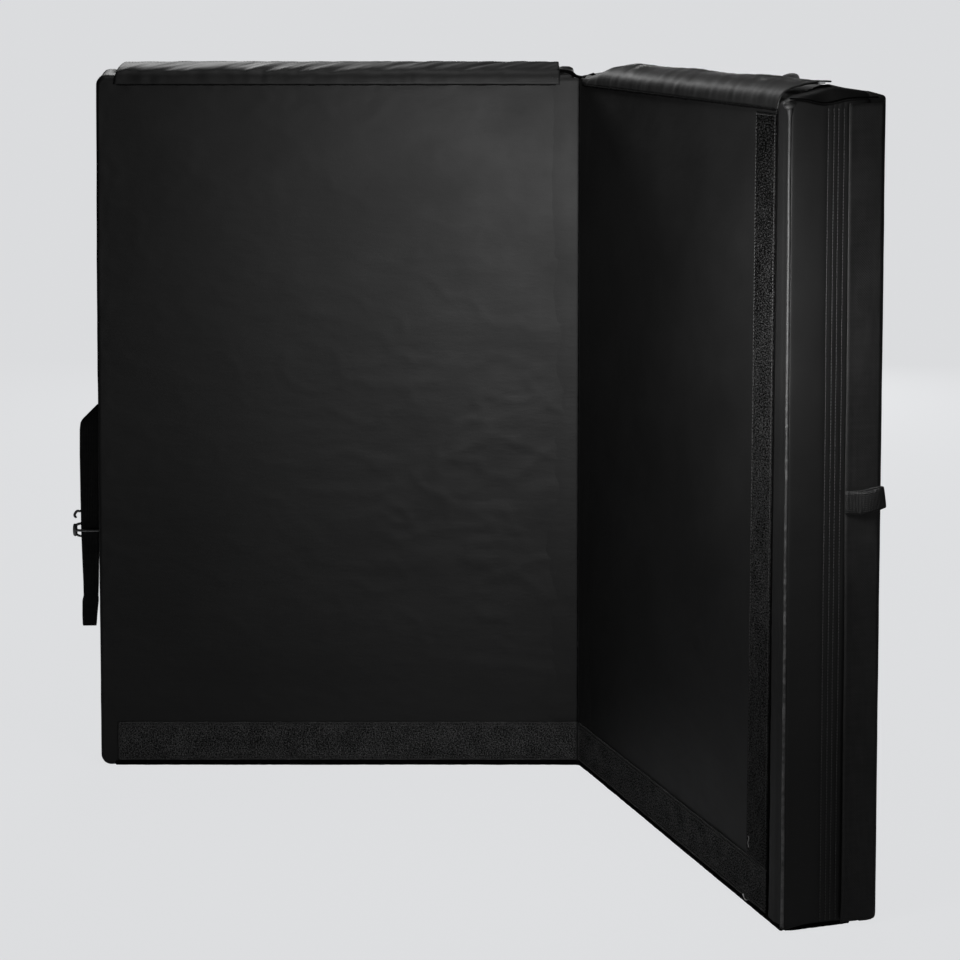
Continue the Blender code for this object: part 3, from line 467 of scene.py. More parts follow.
def noise(a, b, c, seed):
    """Smooth noise, about -1 to 1, at places given by three coordinates, each an array or a number."""
    a, b, c = np.broadcast_arrays(a, b, c)
    points = np.stack([a.ravel(), b.ravel(), c.ravel()], 1).astype(float)
    cells = np.floor(points).astype(np.int64)
    inside = points - cells
    fade = inside ** 3 * (inside * (inside * 6 - 15) + 10)
    total = np.zeros(len(points))
    for corner in ((0, 0, 0), (1, 0, 0), (0, 1, 0), (1, 1, 0), (0, 0, 1), (1, 0, 1), (0, 1, 1), (1, 1, 1)):
        step = np.array(corner)
        turn = hash_turn(cells + step, seed) / 65536 * 2 * math.pi
        lean = hash_turn(cells + step, seed + 71) / 32768 - 1.0
        flat = np.sqrt(1 - lean * lean)
        off = inside - step
        slope = off[:, 0] * np.cos(turn) * flat + off[:, 1] * np.sin(turn) * flat + off[:, 2] * lean
        weight = np.prod(np.where(step == 1, fade, 1 - fade), axis=1)
        total += weight * slope
    return (total * 1.6).reshape(a.shape)


def layered(a, b, c, seed, octaves=3):
    """Noise of several sizes added up, each half as strong as the last."""
    total, strength = 0.0, 1.0
    for octave in range(octaves):
        size = 2 ** octave
        total = total + strength * noise(a * size, b * size, c * size, seed + octave)
        strength *= 0.5
    return total


def smooth(low, high, value):
    """Rises smoothly from 0 at low to 1 at high."""
    share = np.clip((value - low) / (high - low), 0, 1)
    return share * share * (3 - 2 * share)


BLENDED = "blended"


def add_piece(name, panel, points, faces, finish, cloth=None, body=None, replaces=None):
    """A smooth-shaded closed piece, its points in the panel's directions, that rides on a body."""
    material, slot = FINISHES[finish]
    mesh = bpy.data.meshes.new(name)
    mesh.from_pydata(panel.places(points).tolist(), [], faces)
    shape = bmesh.new()
    shape.from_mesh(mesh)
    bmesh.ops.recalc_face_normals(shape, faces=shape.faces)
    shape.to_mesh(mesh)
    shape.free()
    cloth = np.asarray(points)[:, [0, 2]] if cloth is None else np.asarray(cloth, float)
    corners = np.zeros(len(mesh.loops), np.int64)
    mesh.loops.foreach_get("vertex_index", corners)
    layer = mesh.uv_layers.new(name="cloth")
    layer.data.foreach_set("uv", cloth[corners].ravel())
    mesh.shade_smooth()
    mesh.materials.append(material)
    piece = bpy.data.objects.new(name, mesh)
    bpy.context.scene.collection.objects.link(piece)
    if body != BLENDED:
        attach(piece, body or panel.body)
    if replaces:
        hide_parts(replaces)
    return piece


RIM_OUT = 0.0009


def quads(index):
    """The four-sided faces of a grid of vertex numbers."""
    corners = (index[:-1, :-1], index[1:, :-1], index[1:, 1:], index[:-1, 1:])
    return list(zip(*(corner.ravel().tolist() for corner in corners)))


def slab(grid, thickness, lift=0.0):
    """Points, faces and cloth map of a closed sheet round a grid of points; lift raises its first side."""
    rows, columns = grid.shape[:2]
    normal = np.cross(np.gradient(grid, axis=0), np.gradient(grid, axis=1))
    normal /= np.linalg.norm(normal, axis=2, keepdims=True) + 1e-12
    half = np.broadcast_to(np.asarray(thickness, float) / 2, (rows, columns))
    over = grid + normal * (half + lift)[..., None]
    under = grid - normal * half[..., None]
    index = np.arange(rows * columns).reshape(rows, columns)
    rim = [*index[0, :-1], *index[:-1, -1], *index[-1, :0:-1], *index[:0:-1, 0]]
    inner = np.clip(np.stack(np.divmod(np.array(rim), columns), 1), 1, [rows - 2, columns - 2])
    flat = grid.reshape(-1, 3)
    out = flat[rim] - grid[inner[:, 0], inner[:, 1]]
    out /= np.linalg.norm(out, axis=1, keepdims=True) + 1e-12
    edge = flat[rim] + out * np.minimum(half.reshape(-1)[rim] * 0.7, RIM_OUT)[:, None]
    count = rows * columns
    points = np.concatenate([over.reshape(-1, 3), under.reshape(-1, 3), edge])
    faces = quads(index)
    faces += [tuple(vert + count for vert in reversed(face)) for face in faces]
    total = len(rim)
    for here in range(total):
        after = (here + 1) % total
        low, high = int(rim[here]), int(rim[after])
        middle, next_middle = 2 * count + here, 2 * count + after
        faces.append((low, high, next_middle, middle))
        faces.append((middle, next_middle, high + count, low + count))
    steps = np.linalg.norm(np.diff(grid, axis=0), axis=2).mean(1)
    sides = np.linalg.norm(np.diff(grid, axis=1), axis=2).mean(0)
    along = np.concatenate([[0], np.cumsum(steps)])
    across = np.concatenate([[0], np.cumsum(sides)])
    cloth = np.stack(np.meshgrid(across, along), 2).reshape(-1, 2)
    return points, faces, np.concatenate([cloth, cloth, cloth[rim]])


def cut_sheet(name, panel, grid, thickness, finish, body=None, replaces=None, lift=0.0):
    """A closed sheet round a grid of points, as one piece."""
    points, faces, cloth = slab(grid, thickness, lift)
    return add_piece(name, panel, points, faces, finish, cloth, body, replaces)


def route_of(u, w, z):
    """Points of a path from three coordinates, each an array or one number for the whole path."""
    return np.stack(np.broadcast_arrays(u, w, z), 1).astype(float)


def smooth_path(points, spacing, rounds=3):
    """A path with its corners rounded off, and points at even spacing."""
    points = np.asarray(points, float)
    for _ in range(rounds):
        ahead = points[:-1] * 0.75 + points[1:] * 0.25
        behind = points[:-1] * 0.25 + points[1:] * 0.75
        between = np.stack([ahead, behind], 1).reshape(-1, points.shape[1])
        points = np.concatenate([points[:1], between[1:-1], points[-1:]])
    reach = np.concatenate([[0], np.cumsum(np.linalg.norm(np.diff(points, axis=0), axis=1))])
    count = max(4, int(round(reach[-1] / spacing)) + 1)
    at = np.linspace(0, reach[-1], count)
    return np.stack([np.interp(at, reach, points[:, axis]) for axis in range(points.shape[1])], 1)


def ribbon(name, panel, path, side, width, replaces, body=None):
    """Flat webbing along a path, its width in the side direction; width and side may change along it."""
    count, columns = len(path), 9
    side = np.broadcast_to(np.asarray(side, float), (count, 3))
    width = np.broadcast_to(np.asarray(width, float), (count,))
    shares = np.linspace(-0.5, 0.5, columns)
    grid = path[:, None, :] + side[:, None, :] * (width[:, None] * shares[None, :])[..., None]
    crown = 1.0 - 0.35 * np.abs(shares * 2) ** 6
    thick = np.broadcast_to(WEB_THICK * crown, (count, columns))
    cut_sheet(name, panel, grid, thick, "webbing", body, replaces)


def wire(name, panel, path, radius, finish, body=None, sides=12, replaces=None):
    """Round wire along a path, with domed ends; radius may change along it."""
    path = np.asarray(path, float)
    count = len(path)
    radius = np.broadcast_to(np.asarray(radius, float), (count,))
    ways = np.gradient(path, axis=0)
    ways /= np.linalg.norm(ways, axis=1, keepdims=True)
    start = np.array([0.0, 1.0, 0.0])
    turns = np.linspace(0, 2 * math.pi, sides, endpoint=False)
    rings = []
    for place, way, reach in zip(path, ways, radius):
        start = start - way * (start @ way)
        start /= np.linalg.norm(start)
        other = np.cross(way, start)
        rings.append(place + reach * (np.cos(turns)[:, None] * start + np.sin(turns)[:, None] * other))
    first_tip = path[:1] - ways[:1] * radius[0] * 0.6
    last_tip = path[-1:] + ways[-1:] * radius[-1] * 0.6
    points = np.concatenate(rings + [first_tip, last_tip])
    faces = []
    for ring in range(count - 1):
        for here in range(sides):
            after = (here + 1) % sides
            low, high = ring * sides, (ring + 1) * sides
            faces.append((low + here, low + after, high + after, high + here))
    first, last = count * sides, count * sides + 1
    for here in range(sides):
        after = (here + 1) % sides
        faces.append((first, after, here))
        faces.append((last, (count - 1) * sides + here, (count - 1) * sides + after))
    return add_piece(name, panel, points, faces, finish, None, body, replaces)


MOULD_ROUND = 0.0006


def moulded_copy(node, body):
    """A packed rigid solid with its edges rounded off, as it comes out of its mould."""
    material, slot = FINISHES["plastic"]
    mesh = frame["nodes"][node].data.copy()
    shape = bmesh.new()
    shape.from_mesh(mesh)
    bmesh.ops.remove_doubles(shape, verts=shape.verts, dist=1e-6)
    bmesh.ops.dissolve_limit(shape, angle_limit=math.radians(3), verts=shape.verts, edges=shape.edges)
    sharp = math.radians(30)
    hard = [edge for edge in shape.edges if len(edge.link_faces) == 2 and edge.calc_face_angle(0) > sharp]
    bmesh.ops.bevel(
        shape, geom=hard, offset=MOULD_ROUND, segments=2, profile=0.6, affect="EDGES", clamp_overlap=True,
    )
    bmesh.ops.recalc_face_normals(shape, faces=shape.faces)
    shape.to_mesh(mesh)
    shape.free()
    mesh.materials.clear()
    mesh.materials.append(material)
    mesh.shade_smooth()
    piece = bpy.data.objects.new(f"{node}_moulding", mesh)
    bpy.context.scene.collection.objects.link(piece)
    mesh.set_sharp_from_angle(angle=math.radians(50))
    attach(piece, body)
    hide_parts(node)


# Areas, each as its low and high u, then its low and high z; on an end w takes the place of u
def shrunk(area, inset):
    """An area drawn in by the same measure on all four sides."""
    return area[0] + inset, area[1] - inset, area[2] + inset, area[3] - inset


def to_edge(u, z, area):
    """How far each point lies from the nearest edge of an area."""
    return np.minimum(np.minimum(u - area[0], area[1] - u), np.minimum(z - area[2], area[3] - z))


def grid_over(area, count_u, count_z):
    """The two coordinates of an even grid over an area."""
    return np.meshgrid(np.linspace(*area[:2], count_u), np.linspace(*area[2:], count_z), indexing="ij")


# Covers
PANEL_AREA = (FOLD_GAP, OUTER_END, 0.0, HEIGHT)
BAND = 0.020
SHARPEST = 0.0006
TINY = 1e-9
NEAR_EDGE = 0.006
KEEP_APART = 0.0012
EDGE_STEPS = 6
CORNERS = {
    "left": {"fold_low": 0.002, "fold_high": 0.010, "outer_low": 0.014, "outer_high": 0.013},
    "right": {"fold_low": 0.002, "fold_high": 0.008, "outer_low": 0.008, "outer_high": 0.003},
}
LANDING_EDGE = {"usual": 0.008, "outer": 0.0048, "corner": 0.0060, "low": 0.0080}
BACK_EDGE = {"usual": 0.012, "outer": 0.005, "corner": 0.004, "low": 0.009}

# The outer back edge, seen from above
PLAN_R = 0.017
PLAN_REACH = 0.060

# Grid spacings of the two covers
LANDING_STEP = 0.0052
BACK_STEP = 0.0065

# The four rows of stitches down the outer end, and the seam beside the right side strip
STITCH_ROWS = (0.0495, 0.0560, 0.0615, 0.0680)
GROOVE_U = 0.5812
GROOVE_LINES = tuple(GROOVE_U + step for step in (-0.0030, -0.0014, 0.0, 0.0014, 0.0030))

# How far the top wall swells behind the flap, over the panel's depth
BULGE_W = (0.0, 0.008, 0.030, 0.046, 0.058, 0.067, 0.078, 0.089, 0.102, 0.115, 0.1235)
BULGE_RISE = (0.0, 0.0005, 0.0062, 0.0118, 0.0130, 0.0112, 0.0094, 0.0079, 0.0052, 0.0024, 0.0006)

# The droop of the outer end's edges
DIP_W = 0.046
DIP_WIDE = 0.020
DIP_DEEP = 0.0052
LIFT_W = (0.0, 0.016, 0.034, 0.060, 0.090, 0.1235)
LIFT_RISE = (0.0, 0.0, 0.0030, 0.0030, 0.0010, 0.0)


def lines(low, high, spacing, extra=()):
    """Grid lines from low to high, closest at the edges, with extra ones where asked."""
    near = np.concatenate([np.linspace(low, low + NEAR_EDGE, 6), np.linspace(low + NEAR_EDGE, low + BAND, 6)])
    count = int(round((high - low - 2 * BAND) / spacing))
    middle = np.linspace(low + BAND, high - BAND, count + 1)
    joined = np.unique(np.round(np.concatenate([near, middle, low + high - near]), 6))
    for value in extra:
        joined = joined[np.abs(joined - value) > KEEP_APART]
        joined = np.append(joined, value)
    return np.sort(joined)


def corner_radius(side, u, z):
    """The radius of the outline's corner that is nearest to each point."""
    radii = CORNERS[side]
    low = np.where(u > LENGTH / 2, radii["outer_low"], radii["fold_low"])
    high = np.where(u > LENGTH / 2, radii["outer_high"], radii["fold_high"])
    return np.where(z > HEIGHT / 2, high, low)


def drawn_in(side, u, z, inset):
    """Points of the full rectangle drawn in, its corners rounded, and the way out at each."""
    centre_u = np.clip(u, FOLD_GAP + BAND, OUTER_END - BAND)
    centre_z = np.clip(z, BAND, HEIGHT - BAND)
    left_over = BAND - inset
    off_u, off_z = (u - centre_u) * left_over / BAND, (z - centre_z) * left_over / BAND
    radius = np.maximum(corner_radius(side, u, z) - inset, SHARPEST)
    straight_part = left_over - radius
    over_u = np.maximum(np.abs(off_u) - straight_part, 0)
    over_z = np.maximum(np.abs(off_z) - straight_part, 0)
    both = (over_u > TINY) & (over_z > TINY)
    length = np.maximum(np.hypot(over_u, over_z), TINY)
    scale = np.where(both, np.maximum(over_u, over_z) / length, 1.0)
    new_u = np.where(both, np.sign(off_u) * (straight_part + over_u * scale), off_u)
    new_z = np.where(both, np.sign(off_z) * (straight_part + over_z * scale), off_z)
    along_u = np.abs(u - centre_u) >= np.abs(z - centre_z)
    way_u = np.where(both, np.sign(off_u) * over_u / length, np.where(along_u, np.sign(off_u), 0.0))
    way_z = np.where(both, np.sign(off_z) * over_z / length, np.where(along_u, 0.0, np.sign(off_z)))
    return centre_u + new_u, centre_z + new_z, np.stack([way_u, np.zeros(u.size), way_z], 1)


def edge_radius(radii, u, z):
    """The radius between face and wall, with its own value at the outer end, its corners and the bottom."""
    outer = smooth(OUTER_END - 0.030, OUTER_END - 0.002, u)
    low = smooth(0.030, 0.002, z)
    high = smooth(HEIGHT - 0.030, HEIGHT - 0.002, z)
    radius = radii["usual"] + (radii["low"] - radii["usual"]) * low
    at_end = radii["outer"] + (radii["corner"] - radii["outer"]) * np.maximum(low, high)
    return radius * (1 - outer) + at_end * outer


def cover_points(side, radii, walls, spacing, face_w, facing, extra=()):
    """Points, faces, outward directions and cloth map of a cover: its flat face, its edge, then its wall."""
    u_lines = lines(FOLD_GAP, OUTER_END, spacing, extra)
    grid_u, grid_z = np.meshgrid(u_lines, lines(0.0, HEIGHT, spacing), indexing="ij")
    flat_u, flat_z = grid_u.ravel(), grid_z.ravel()
    face_u, face_z, _ = drawn_in(side, flat_u, flat_z, edge_radius(radii, flat_u, flat_z))
    straight_out = np.array([0.0, facing, 0.0])
    points = [np.stack([face_u, np.full(face_u.size, face_w), face_z], 1)]
    outward = [np.tile(straight_out, (face_u.size, 1))]
    cloth = [np.stack([face_u, face_z], 1)]
    index = np.arange(grid_u.size).reshape(grid_u.shape)
    rim = np.array([*index[:-1, 0], *index[-1, :-1], *index[:0:-1, -1], *index[0, :0:-1]])
    rim_u, rim_z = flat_u[rim], flat_z[rim]
    radius = edge_radius(radii, rim_u, rim_z)
    for step in range(1, EDGE_STEPS + 1):
        lean = math.pi / 2 * step / EDGE_STEPS
        ring_u, ring_z, way = drawn_in(side, rim_u, rim_z, radius * (1 - math.sin(lean)))
        last_w = face_w - facing * radius * (1 - math.cos(lean))
        points.append(np.stack([ring_u, last_w, ring_z], 1))
        outward.append(way * math.sin(lean) + straight_out * math.cos(lean))
        cloth.append(cloth[0][rim] + way[:, [0, 2]] * (radius * lean)[:, None])
    for share, w, inset in walls:
        ring_u, ring_z, way = drawn_in(side, rim_u, rim_z, np.full(rim.size, inset))
        ring_w = np.where(share > 0, last_w + (w - last_w) * share, w)
        points.append(np.stack([ring_u, ring_w, ring_z], 1))
        outward.append(way)
        reach = radius * math.pi / 2 + np.abs(ring_w - last_w)
        cloth.append(cloth[0][rim] + way[:, [0, 2]] * reach[:, None])
    faces = quads(index)
    before = rim
    start = grid_u.size
    for _ in range(EDGE_STEPS + len(walls)):
        ring = start + np.arange(rim.size)
        after, before_next = np.roll(ring, -1), np.roll(before, -1)
        faces += list(zip(before.tolist(), ring.tolist(), after.tolist(), before_next.tolist()))
        before = ring
        start += rim.size
    faces.append(tuple(int(vert) for vert in before[::-1]))
    return np.concatenate(points), faces, np.concatenate(outward), np.concatenate(cloth)


def wall_rows(first_w, last_w, spacing, extra=()):
    """Rings of a cover's wall: shares of the way to first_w, then levels of their own to last_w."""
    rows = [(share, first_w, 0.0) for share in (0.34, 0.67, 1.0)]
    count = max(2, int(round(abs(last_w - first_w) / spacing)))
    places = list(np.linspace(first_w, last_w, count + 1)[1:])
    for value in extra:
        places = [w for w in places if abs(w - value) > 0.0007] + [value]
    places.sort(reverse=last_w < first_w)
    return rows + [(0.0, w, 0.0) for w in places]


def lean_out(u, z):
    """How far the right face's side strip and its seam lean out toward the top."""
    near = smooth(0.480, 0.528, u) * (1 - smooth(0.588, 0.612, u))
    return 0.0085 * near * np.clip(z / HEIGHT, 0, 1)


def top_bulge(side, u, w):
    """How far the top wall swells: little under the flap, more behind it and past its end."""
    flap_end = FLAPS[side]["end"]
    past = smooth(flap_end + 0.001, flap_end + 0.007, u)
    rim = smooth(0.0, 0.007, OUTER_END - u)
    near_end = smooth(0.42, 0.52, u)
    middle = 0.0012 * np.sin(np.clip(w / 0.12, 0, 1) * math.pi) + 0.0040 * smooth(0.060, 0.074, w)
    middle = middle * smooth(0.1235, 0.105, w)
    gusset = np.interp(w, BULGE_W, BULGE_RISE) * (1.14 if side == "right" else 0.45)
    near_fold = smooth(0.030, 0.018, u) * 0.0040 * np.sin(np.clip(w / 0.115, 0, 1) * math.pi)
    behind = middle * (1 - near_end) + gusset * smooth(0.055, 0.066, w) * near_end
    return behind * (1 - past) + gusset * past * rim + near_fold


def face_relief(side, u, w, z):
    """How far a landing face stands out: its crown, ripples, slack, ridges and puckered rim."""
    near = to_edge(u, z, PANEL_AREA)
    free = smooth(0.060, 0.085, z)
    crown = FACE_CROWN * smooth(0.0, 0.19, near) * smooth(0.06, 0.16, z)
    if side == "right":
        free = free * (1 - smooth(0.505, 0.528, u))
        crown = crown * (1 - smooth(0.42, 0.53, u))
        seed, strength = 47, 0.60
    else:
        middle = np.exp(-(((u - 0.13) / 0.16) ** 2 + ((z - 0.38) / 0.20) ** 2))
        seed, strength = 11, 0.80 + 1.50 * middle
    ripple = layered(u * 6.5, w * 5.0, (z + 0.16 * u) * 15.0, seed)
    slack = layered(u * 3.2, w * 3.0, z * 3.0, seed + 9, 2)
    ridge = 1 - np.abs(layered(u * 8.0, w * 4.0, z * 15.0, seed + 20)) * 2.4
    ridge = np.clip(ridge, 0, 1) ** 3
    pucker = noise(u * 62.0, w * 10.0, z * 62.0, seed + 31)
    rim = np.exp(-np.maximum(near, 0) / 0.022)
    return crown + free * (
        0.00042 * ripple * strength + 0.0010 * slack + 0.00034 * ridge * strength + 0.0005 * pucker * rim
    )


def wall_relief(side, u, w, z, end, top):
    """How far a landing cover's walls stand out, with a line drawn in under each row of stitches."""
    seed = 11 if side == "left" else 47
    wall_noise = layered(u * 9.0, w * 16.0, z * 9.0, seed + 5)
    creased = noise(u * 30.0, w * 9.0, z * 30.0, seed + 6)
    wall = 0.0008 * wall_noise + 0.0004 * creased - 0.0004
    wall = wall * (1 - 0.55 * end)
    for row_w in STITCH_ROWS:
        wall = wall - 0.00028 * end * np.exp(-((w - row_w) / 0.0009) ** 2)
    return wall + top * top_bulge(side, u, w)


def seam_groove(u, z, on_face):
    """The groove of the seam beside the right side strip, less the raised lip past it."""
    jag = 0.0010 * noise(0, 0, z * 70.0, 77)
    jag = jag + 0.0014 * noise(0, 0, z * 9.0, 78)
    wide = 0.0020 + 0.0008 * smooth(0.4, 0.05, z)
    groove = 0.0042 * np.exp(-((u - GROOVE_U - jag * 0.5) / wide) ** 2) * smooth(0.897, 0.880, z)
    lip = 0.0009 * smooth(GROOVE_U + 0.0012, GROOVE_U + 0.0030, u) * on_face * (1 - smooth(0.600, 0.612, u))
    return groove - lip


def landing_relief(side, points, outward):
    """How far each point of a landing cover stands out from its plain shape."""
    u, w, z = points.T
    on_face = smooth(0.6, 0.95, -outward[:, 1])
    on_wall = 1 - on_face
    face = face_relief(side, u, w, z)
    if side == "right":
        face = face - seam_groove(u, z, on_face)
    end = smooth(0.8, 0.98, outward[:, 0]) * on_wall
    top = smooth(0.7, 0.98, outward[:, 2]) * on_wall
    return on_face * face + on_wall * wall_relief(side, u, w, z, end, top)


def end_dip(w):
    """How far the outer end's top edge droops, over the panel's depth."""
    return DIP_DEEP * np.exp(-((w - DIP_W) / DIP_WIDE) ** 2)


def end_shift(points):
    """The soft droop of the outer end's top and bottom edges, in z."""
    u, w, z = points.T
    outer = smooth(0.600, 0.6180, u)
    top = smooth(HEIGHT - 0.060, HEIGHT - 0.004, z)
    low = smooth(0.050, 0.004, z)
    return -top * outer * end_dip(w) + low * outer * np.interp(w, LIFT_W, LIFT_RISE)


def add_landing_cover(panel):
    """The smooth cover of the landing side: its face and its walls as far as the seam."""
    side = panel.name
    grooves = [row + step for row in STITCH_ROWS for step in (-0.0009, 0.0, 0.0009)]
    walls = wall_rows(0.016, SEAM_W - 0.002, 0.0055, grooves)
    walls += [(0.0, SEAM_W - 0.0008, 0.0007), (0.0, SEAM_W - 0.0003, 0.0026)]
    extra = GROOVE_LINES if side == "right" else ()
    points, faces, outward, cloth = cover_points(side, LANDING_EDGE, walls, LANDING_STEP, FACE_W, -1.0, extra)
    points = points + outward * landing_relief(side, points, outward)[:, None]
    if side == "right":
        points[:, 2] += end_shift(points)
        points[:, 0] += lean_out(points[:, 0], points[:, 2]) * smooth(0.030, 0.010, points[:, 1])
    else:
        spread_out = 0.0036 * (1 - (points[:, 2] / HEIGHT).clip(0, 1) ** 2.0)
        points[:, 0] += spread_out * smooth(0.52, 0.615, points[:, 0]) * smooth(0.066, 0.045, points[:, 1])
    name = f"{side}_landing_cover"
    piece = add_piece(f"{name}_cloth", panel, points, faces, "coated", cloth, replaces=name)


def back_relief(side, points, outward):
    """How far each point of a back cover stands out from its plain shape."""
    u, w, z = points.T
    on_face = smooth(0.6, 0.95, outward[:, 1])
    seed = 83 if side == "left" else 97
    slack = layered(u * 4.0, w * 4.0, z * 4.0, seed)
    ripple = layered(u * 9.0, w * 9.0, z * 16.0, seed + 3)
    face = 0.0009 * slack + 0.0005 * ripple - 0.0011 - 0.0010 * smooth(0.0, 0.15, to_edge(u, z, PANEL_AREA))
    wall = 0.0006 * ripple + 0.0004 * slack
    wall = wall * (1 - 0.6 * smooth(0.8, 0.98, outward[:, 0]))
    wall = wall + smooth(0.5, 0.98, outward[:, 2]) * top_bulge(side, u, w)
    return on_face * face + (1 - on_face) * wall


def round_outer_back(points):
    """Rounds the outer back edge as seen from above: the nearer to the back, the shorter the cover."""
    u, w = points[:, 0], points[:, 1]
    deep = np.clip(BACK_W - w, 0, PLAN_R)
    short = PLAN_R - np.sqrt(PLAN_R ** 2 - (PLAN_R - deep) ** 2)
    share = np.clip((u - OUTER_END + PLAN_REACH) / PLAN_REACH, 0, 1)
    points[:, 0] = u - short * share ** 2


def add_back_cover(panel):
    """The woven cover of the back and of the walls behind the seam."""
    side = panel.name
    walls = wall_rows(0.1034, SEAM_W + 0.002, 0.0035)
    walls += [(0.0, SEAM_W + 0.0008, 0.0007), (0.0, SEAM_W + 0.0003, 0.0026)]
    points, faces, outward, cloth = cover_points(side, BACK_EDGE, walls, BACK_STEP, BACK_W, 1.0)
    points = points + outward * back_relief(side, points, outward)[:, None]
    if side == "right":
        points[:, 2] += end_shift(points)
    round_outer_back(points)
    name = f"{side}_back_cover"
    piece = add_piece(f"{name}_cloth", panel, points, faces, "woven", cloth, replaces=name)


# Foam sheets, each with its finish and the depths of its two faces
FOAMS = {
    "landing_foam": ("closed_foam", 0.0062, 0.0283),
    "core_foam": ("open_foam", 0.0286, 0.0960),
    "base_foam": ("closed_foam", 0.1010, 0.1150),
}
FOAM_AREA = (0.012, 0.604, 0.012, 0.890)


def add_foams(panel):
    """The three foam sheets inside the covers, cut square with slightly soft edges."""
    grid_u, grid_z = grid_over(FOAM_AREA, 41, 61)
    wave = 0.0003 * noise(grid_u * 14, 0, grid_z * 14, 5)
    for name, (finish, low_w, high_w) in FOAMS.items():
        middle = (low_w + high_w) / 2 + wave
        grid = np.stack([grid_u, middle, grid_z], 2)
        full = f"{panel.name}_{name}"
        block = cut_sheet(f"{full}_block", panel, grid, high_w - low_w, finish, replaces=full)


# Loop strips, each with its area, its pile's finish and the seed of its relief
STRIPS = {
    "left_bottom_loop_strip": ((0.0002, 0.5985, 0.0088, 0.0583), "paler_loop", 801),
    "right_bottom_loop_strip": ((0.0002, 0.5795, 0.0092, 0.0583), "paler_loop", 811),
    "right_side_loop_strip": ((0.5287, 0.5795, 0.0586, 0.8860), "loop", 821),
}
STRIP_STEP = 0.0013
STRIP_THICK = 0.0011
STRIP_W = 0.00318
SELVEDGE_W = 0.00245
UPRIGHT_FROM = 0.5


def loop_strip(name, panel):
    """Loop tape sewn flat: a fuzzy middle and a plain woven border."""
    area, finish, seed = STRIPS[name]
    low_u, high_u, low_z, high_z = area
    upright = high_z > UPRIGHT_FROM
    counts = [int(reach / STRIP_STEP) + 1 for reach in (high_u - low_u, high_z - low_z)]
    u, z = grid_over(area, *counts)
    edge = to_edge(u, z, area)
    wave = 0.00022 * layered(u * 22.0, 0, z * 22.0, seed, 2)
    rough = noise(u * 620.0, 0, z * 620.0, seed + 1) + 0.7 * noise(u * 330.0, 0, z * 330.0, seed + 2)
    clumps = noise(u * 120.0, 0, z * 120.0, seed + 3)
    fuzz = smooth(0.0032, 0.0052, edge) * (0.00045 + 0.00040 * rough + 0.00025 * clumps)
    ragged = 0.0004 * noise(u * 45.0, 0, z * 45.0, seed + 4) * (edge < STRIP_STEP)
    shift = lean_out(u, z) if upright else 0.0
    grid = np.stack([u + shift, np.full(u.shape, STRIP_W) + wave, z + ragged], 2)
    piece = cut_sheet(f"{name}_pile", panel, grid, STRIP_THICK, finish, replaces=name, lift=fuzz)
    if upright:
        borders, edging = (("outer", 0.0004, 0.00032),), "dull_selvedge"
    else:
        borders, edging = (("outer", 0.0004, 0.00062), ("inner", 0.0043, 0.00042)), "selvedge"
    for line, inset, thick in borders:
        near_u, far_u, near_z, far_z = shrunk(area, inset)
        corners = [(near_u, near_z), (far_u, near_z), (far_u, far_z), (near_u, far_z), (near_u, near_z)]
        sides = [np.linspace(one, two, 160, endpoint=False) for one, two in zip(corners, corners[1:])]
        u, z = np.concatenate(sides).T
        drift = 0.00035 * noise(u * 40, 0, z * 40, seed + 6)
        shift = lean_out(u, z) if upright else 0.0
        path = route_of(u + drift + shift, SELVEDGE_W, z + drift)
        thick = thick * (1 + 0.25 * noise(*(path.T * 300.0), seed + 7))
        wire(f"{name}_{line}_selvedge", panel, path, thick, edging, None, 6)


# Top flaps
FLAP_ROOT_W = 0.00295
FLAP_ROOT_Z = HEIGHT - 0.012
FLAP_REACH = 0.054
FLAP_LIFT = 0.028
FLAP_PROFILE = ((0.0, 0.0), (0.01, 0.38), (0.08, 0.62), (0.25, 0.80), (0.52, 0.93), (0.80, 1.0), (1.0, 1.0))
FLAP_SHARES = (0.0, 0.02, 0.11, 0.20, 0.45, 0.80, 1.0)
FLAP_RISES = (0.0, 0.20, 1.10, 1.08, 1.02, 1.0, 1.0)
FLAPS = {
    "left": {
        "start": 0.0245, "end": 0.5945, "rise": 0.0145, "slant": 0.009, "seed": 201,
        "swell": (0.97, 1.0, 0.98, 1.0, 0.96), "tape_from": 0, "seam": 0.0007,
    },
    "right": {
        "start": 0.0055, "end": 0.5915, "rise": 0.0175, "slant": -0.017, "seed": 233,
        "swell": (0.78, 0.84, 0.86, 0.93, 1.0), "tape_from": 64, "seam": 0.0015,
    },
}
FLAP_COLUMNS = 240
FLAP_ROWS = 26
TAPE_ROWS = 20
TAPE_FROM = 0.36
TAPE_UNDER = 0.0020
TAPE_THICK = 0.0012
FLAP_THICK = 0.0014
FLAP_HEM = 0.0019


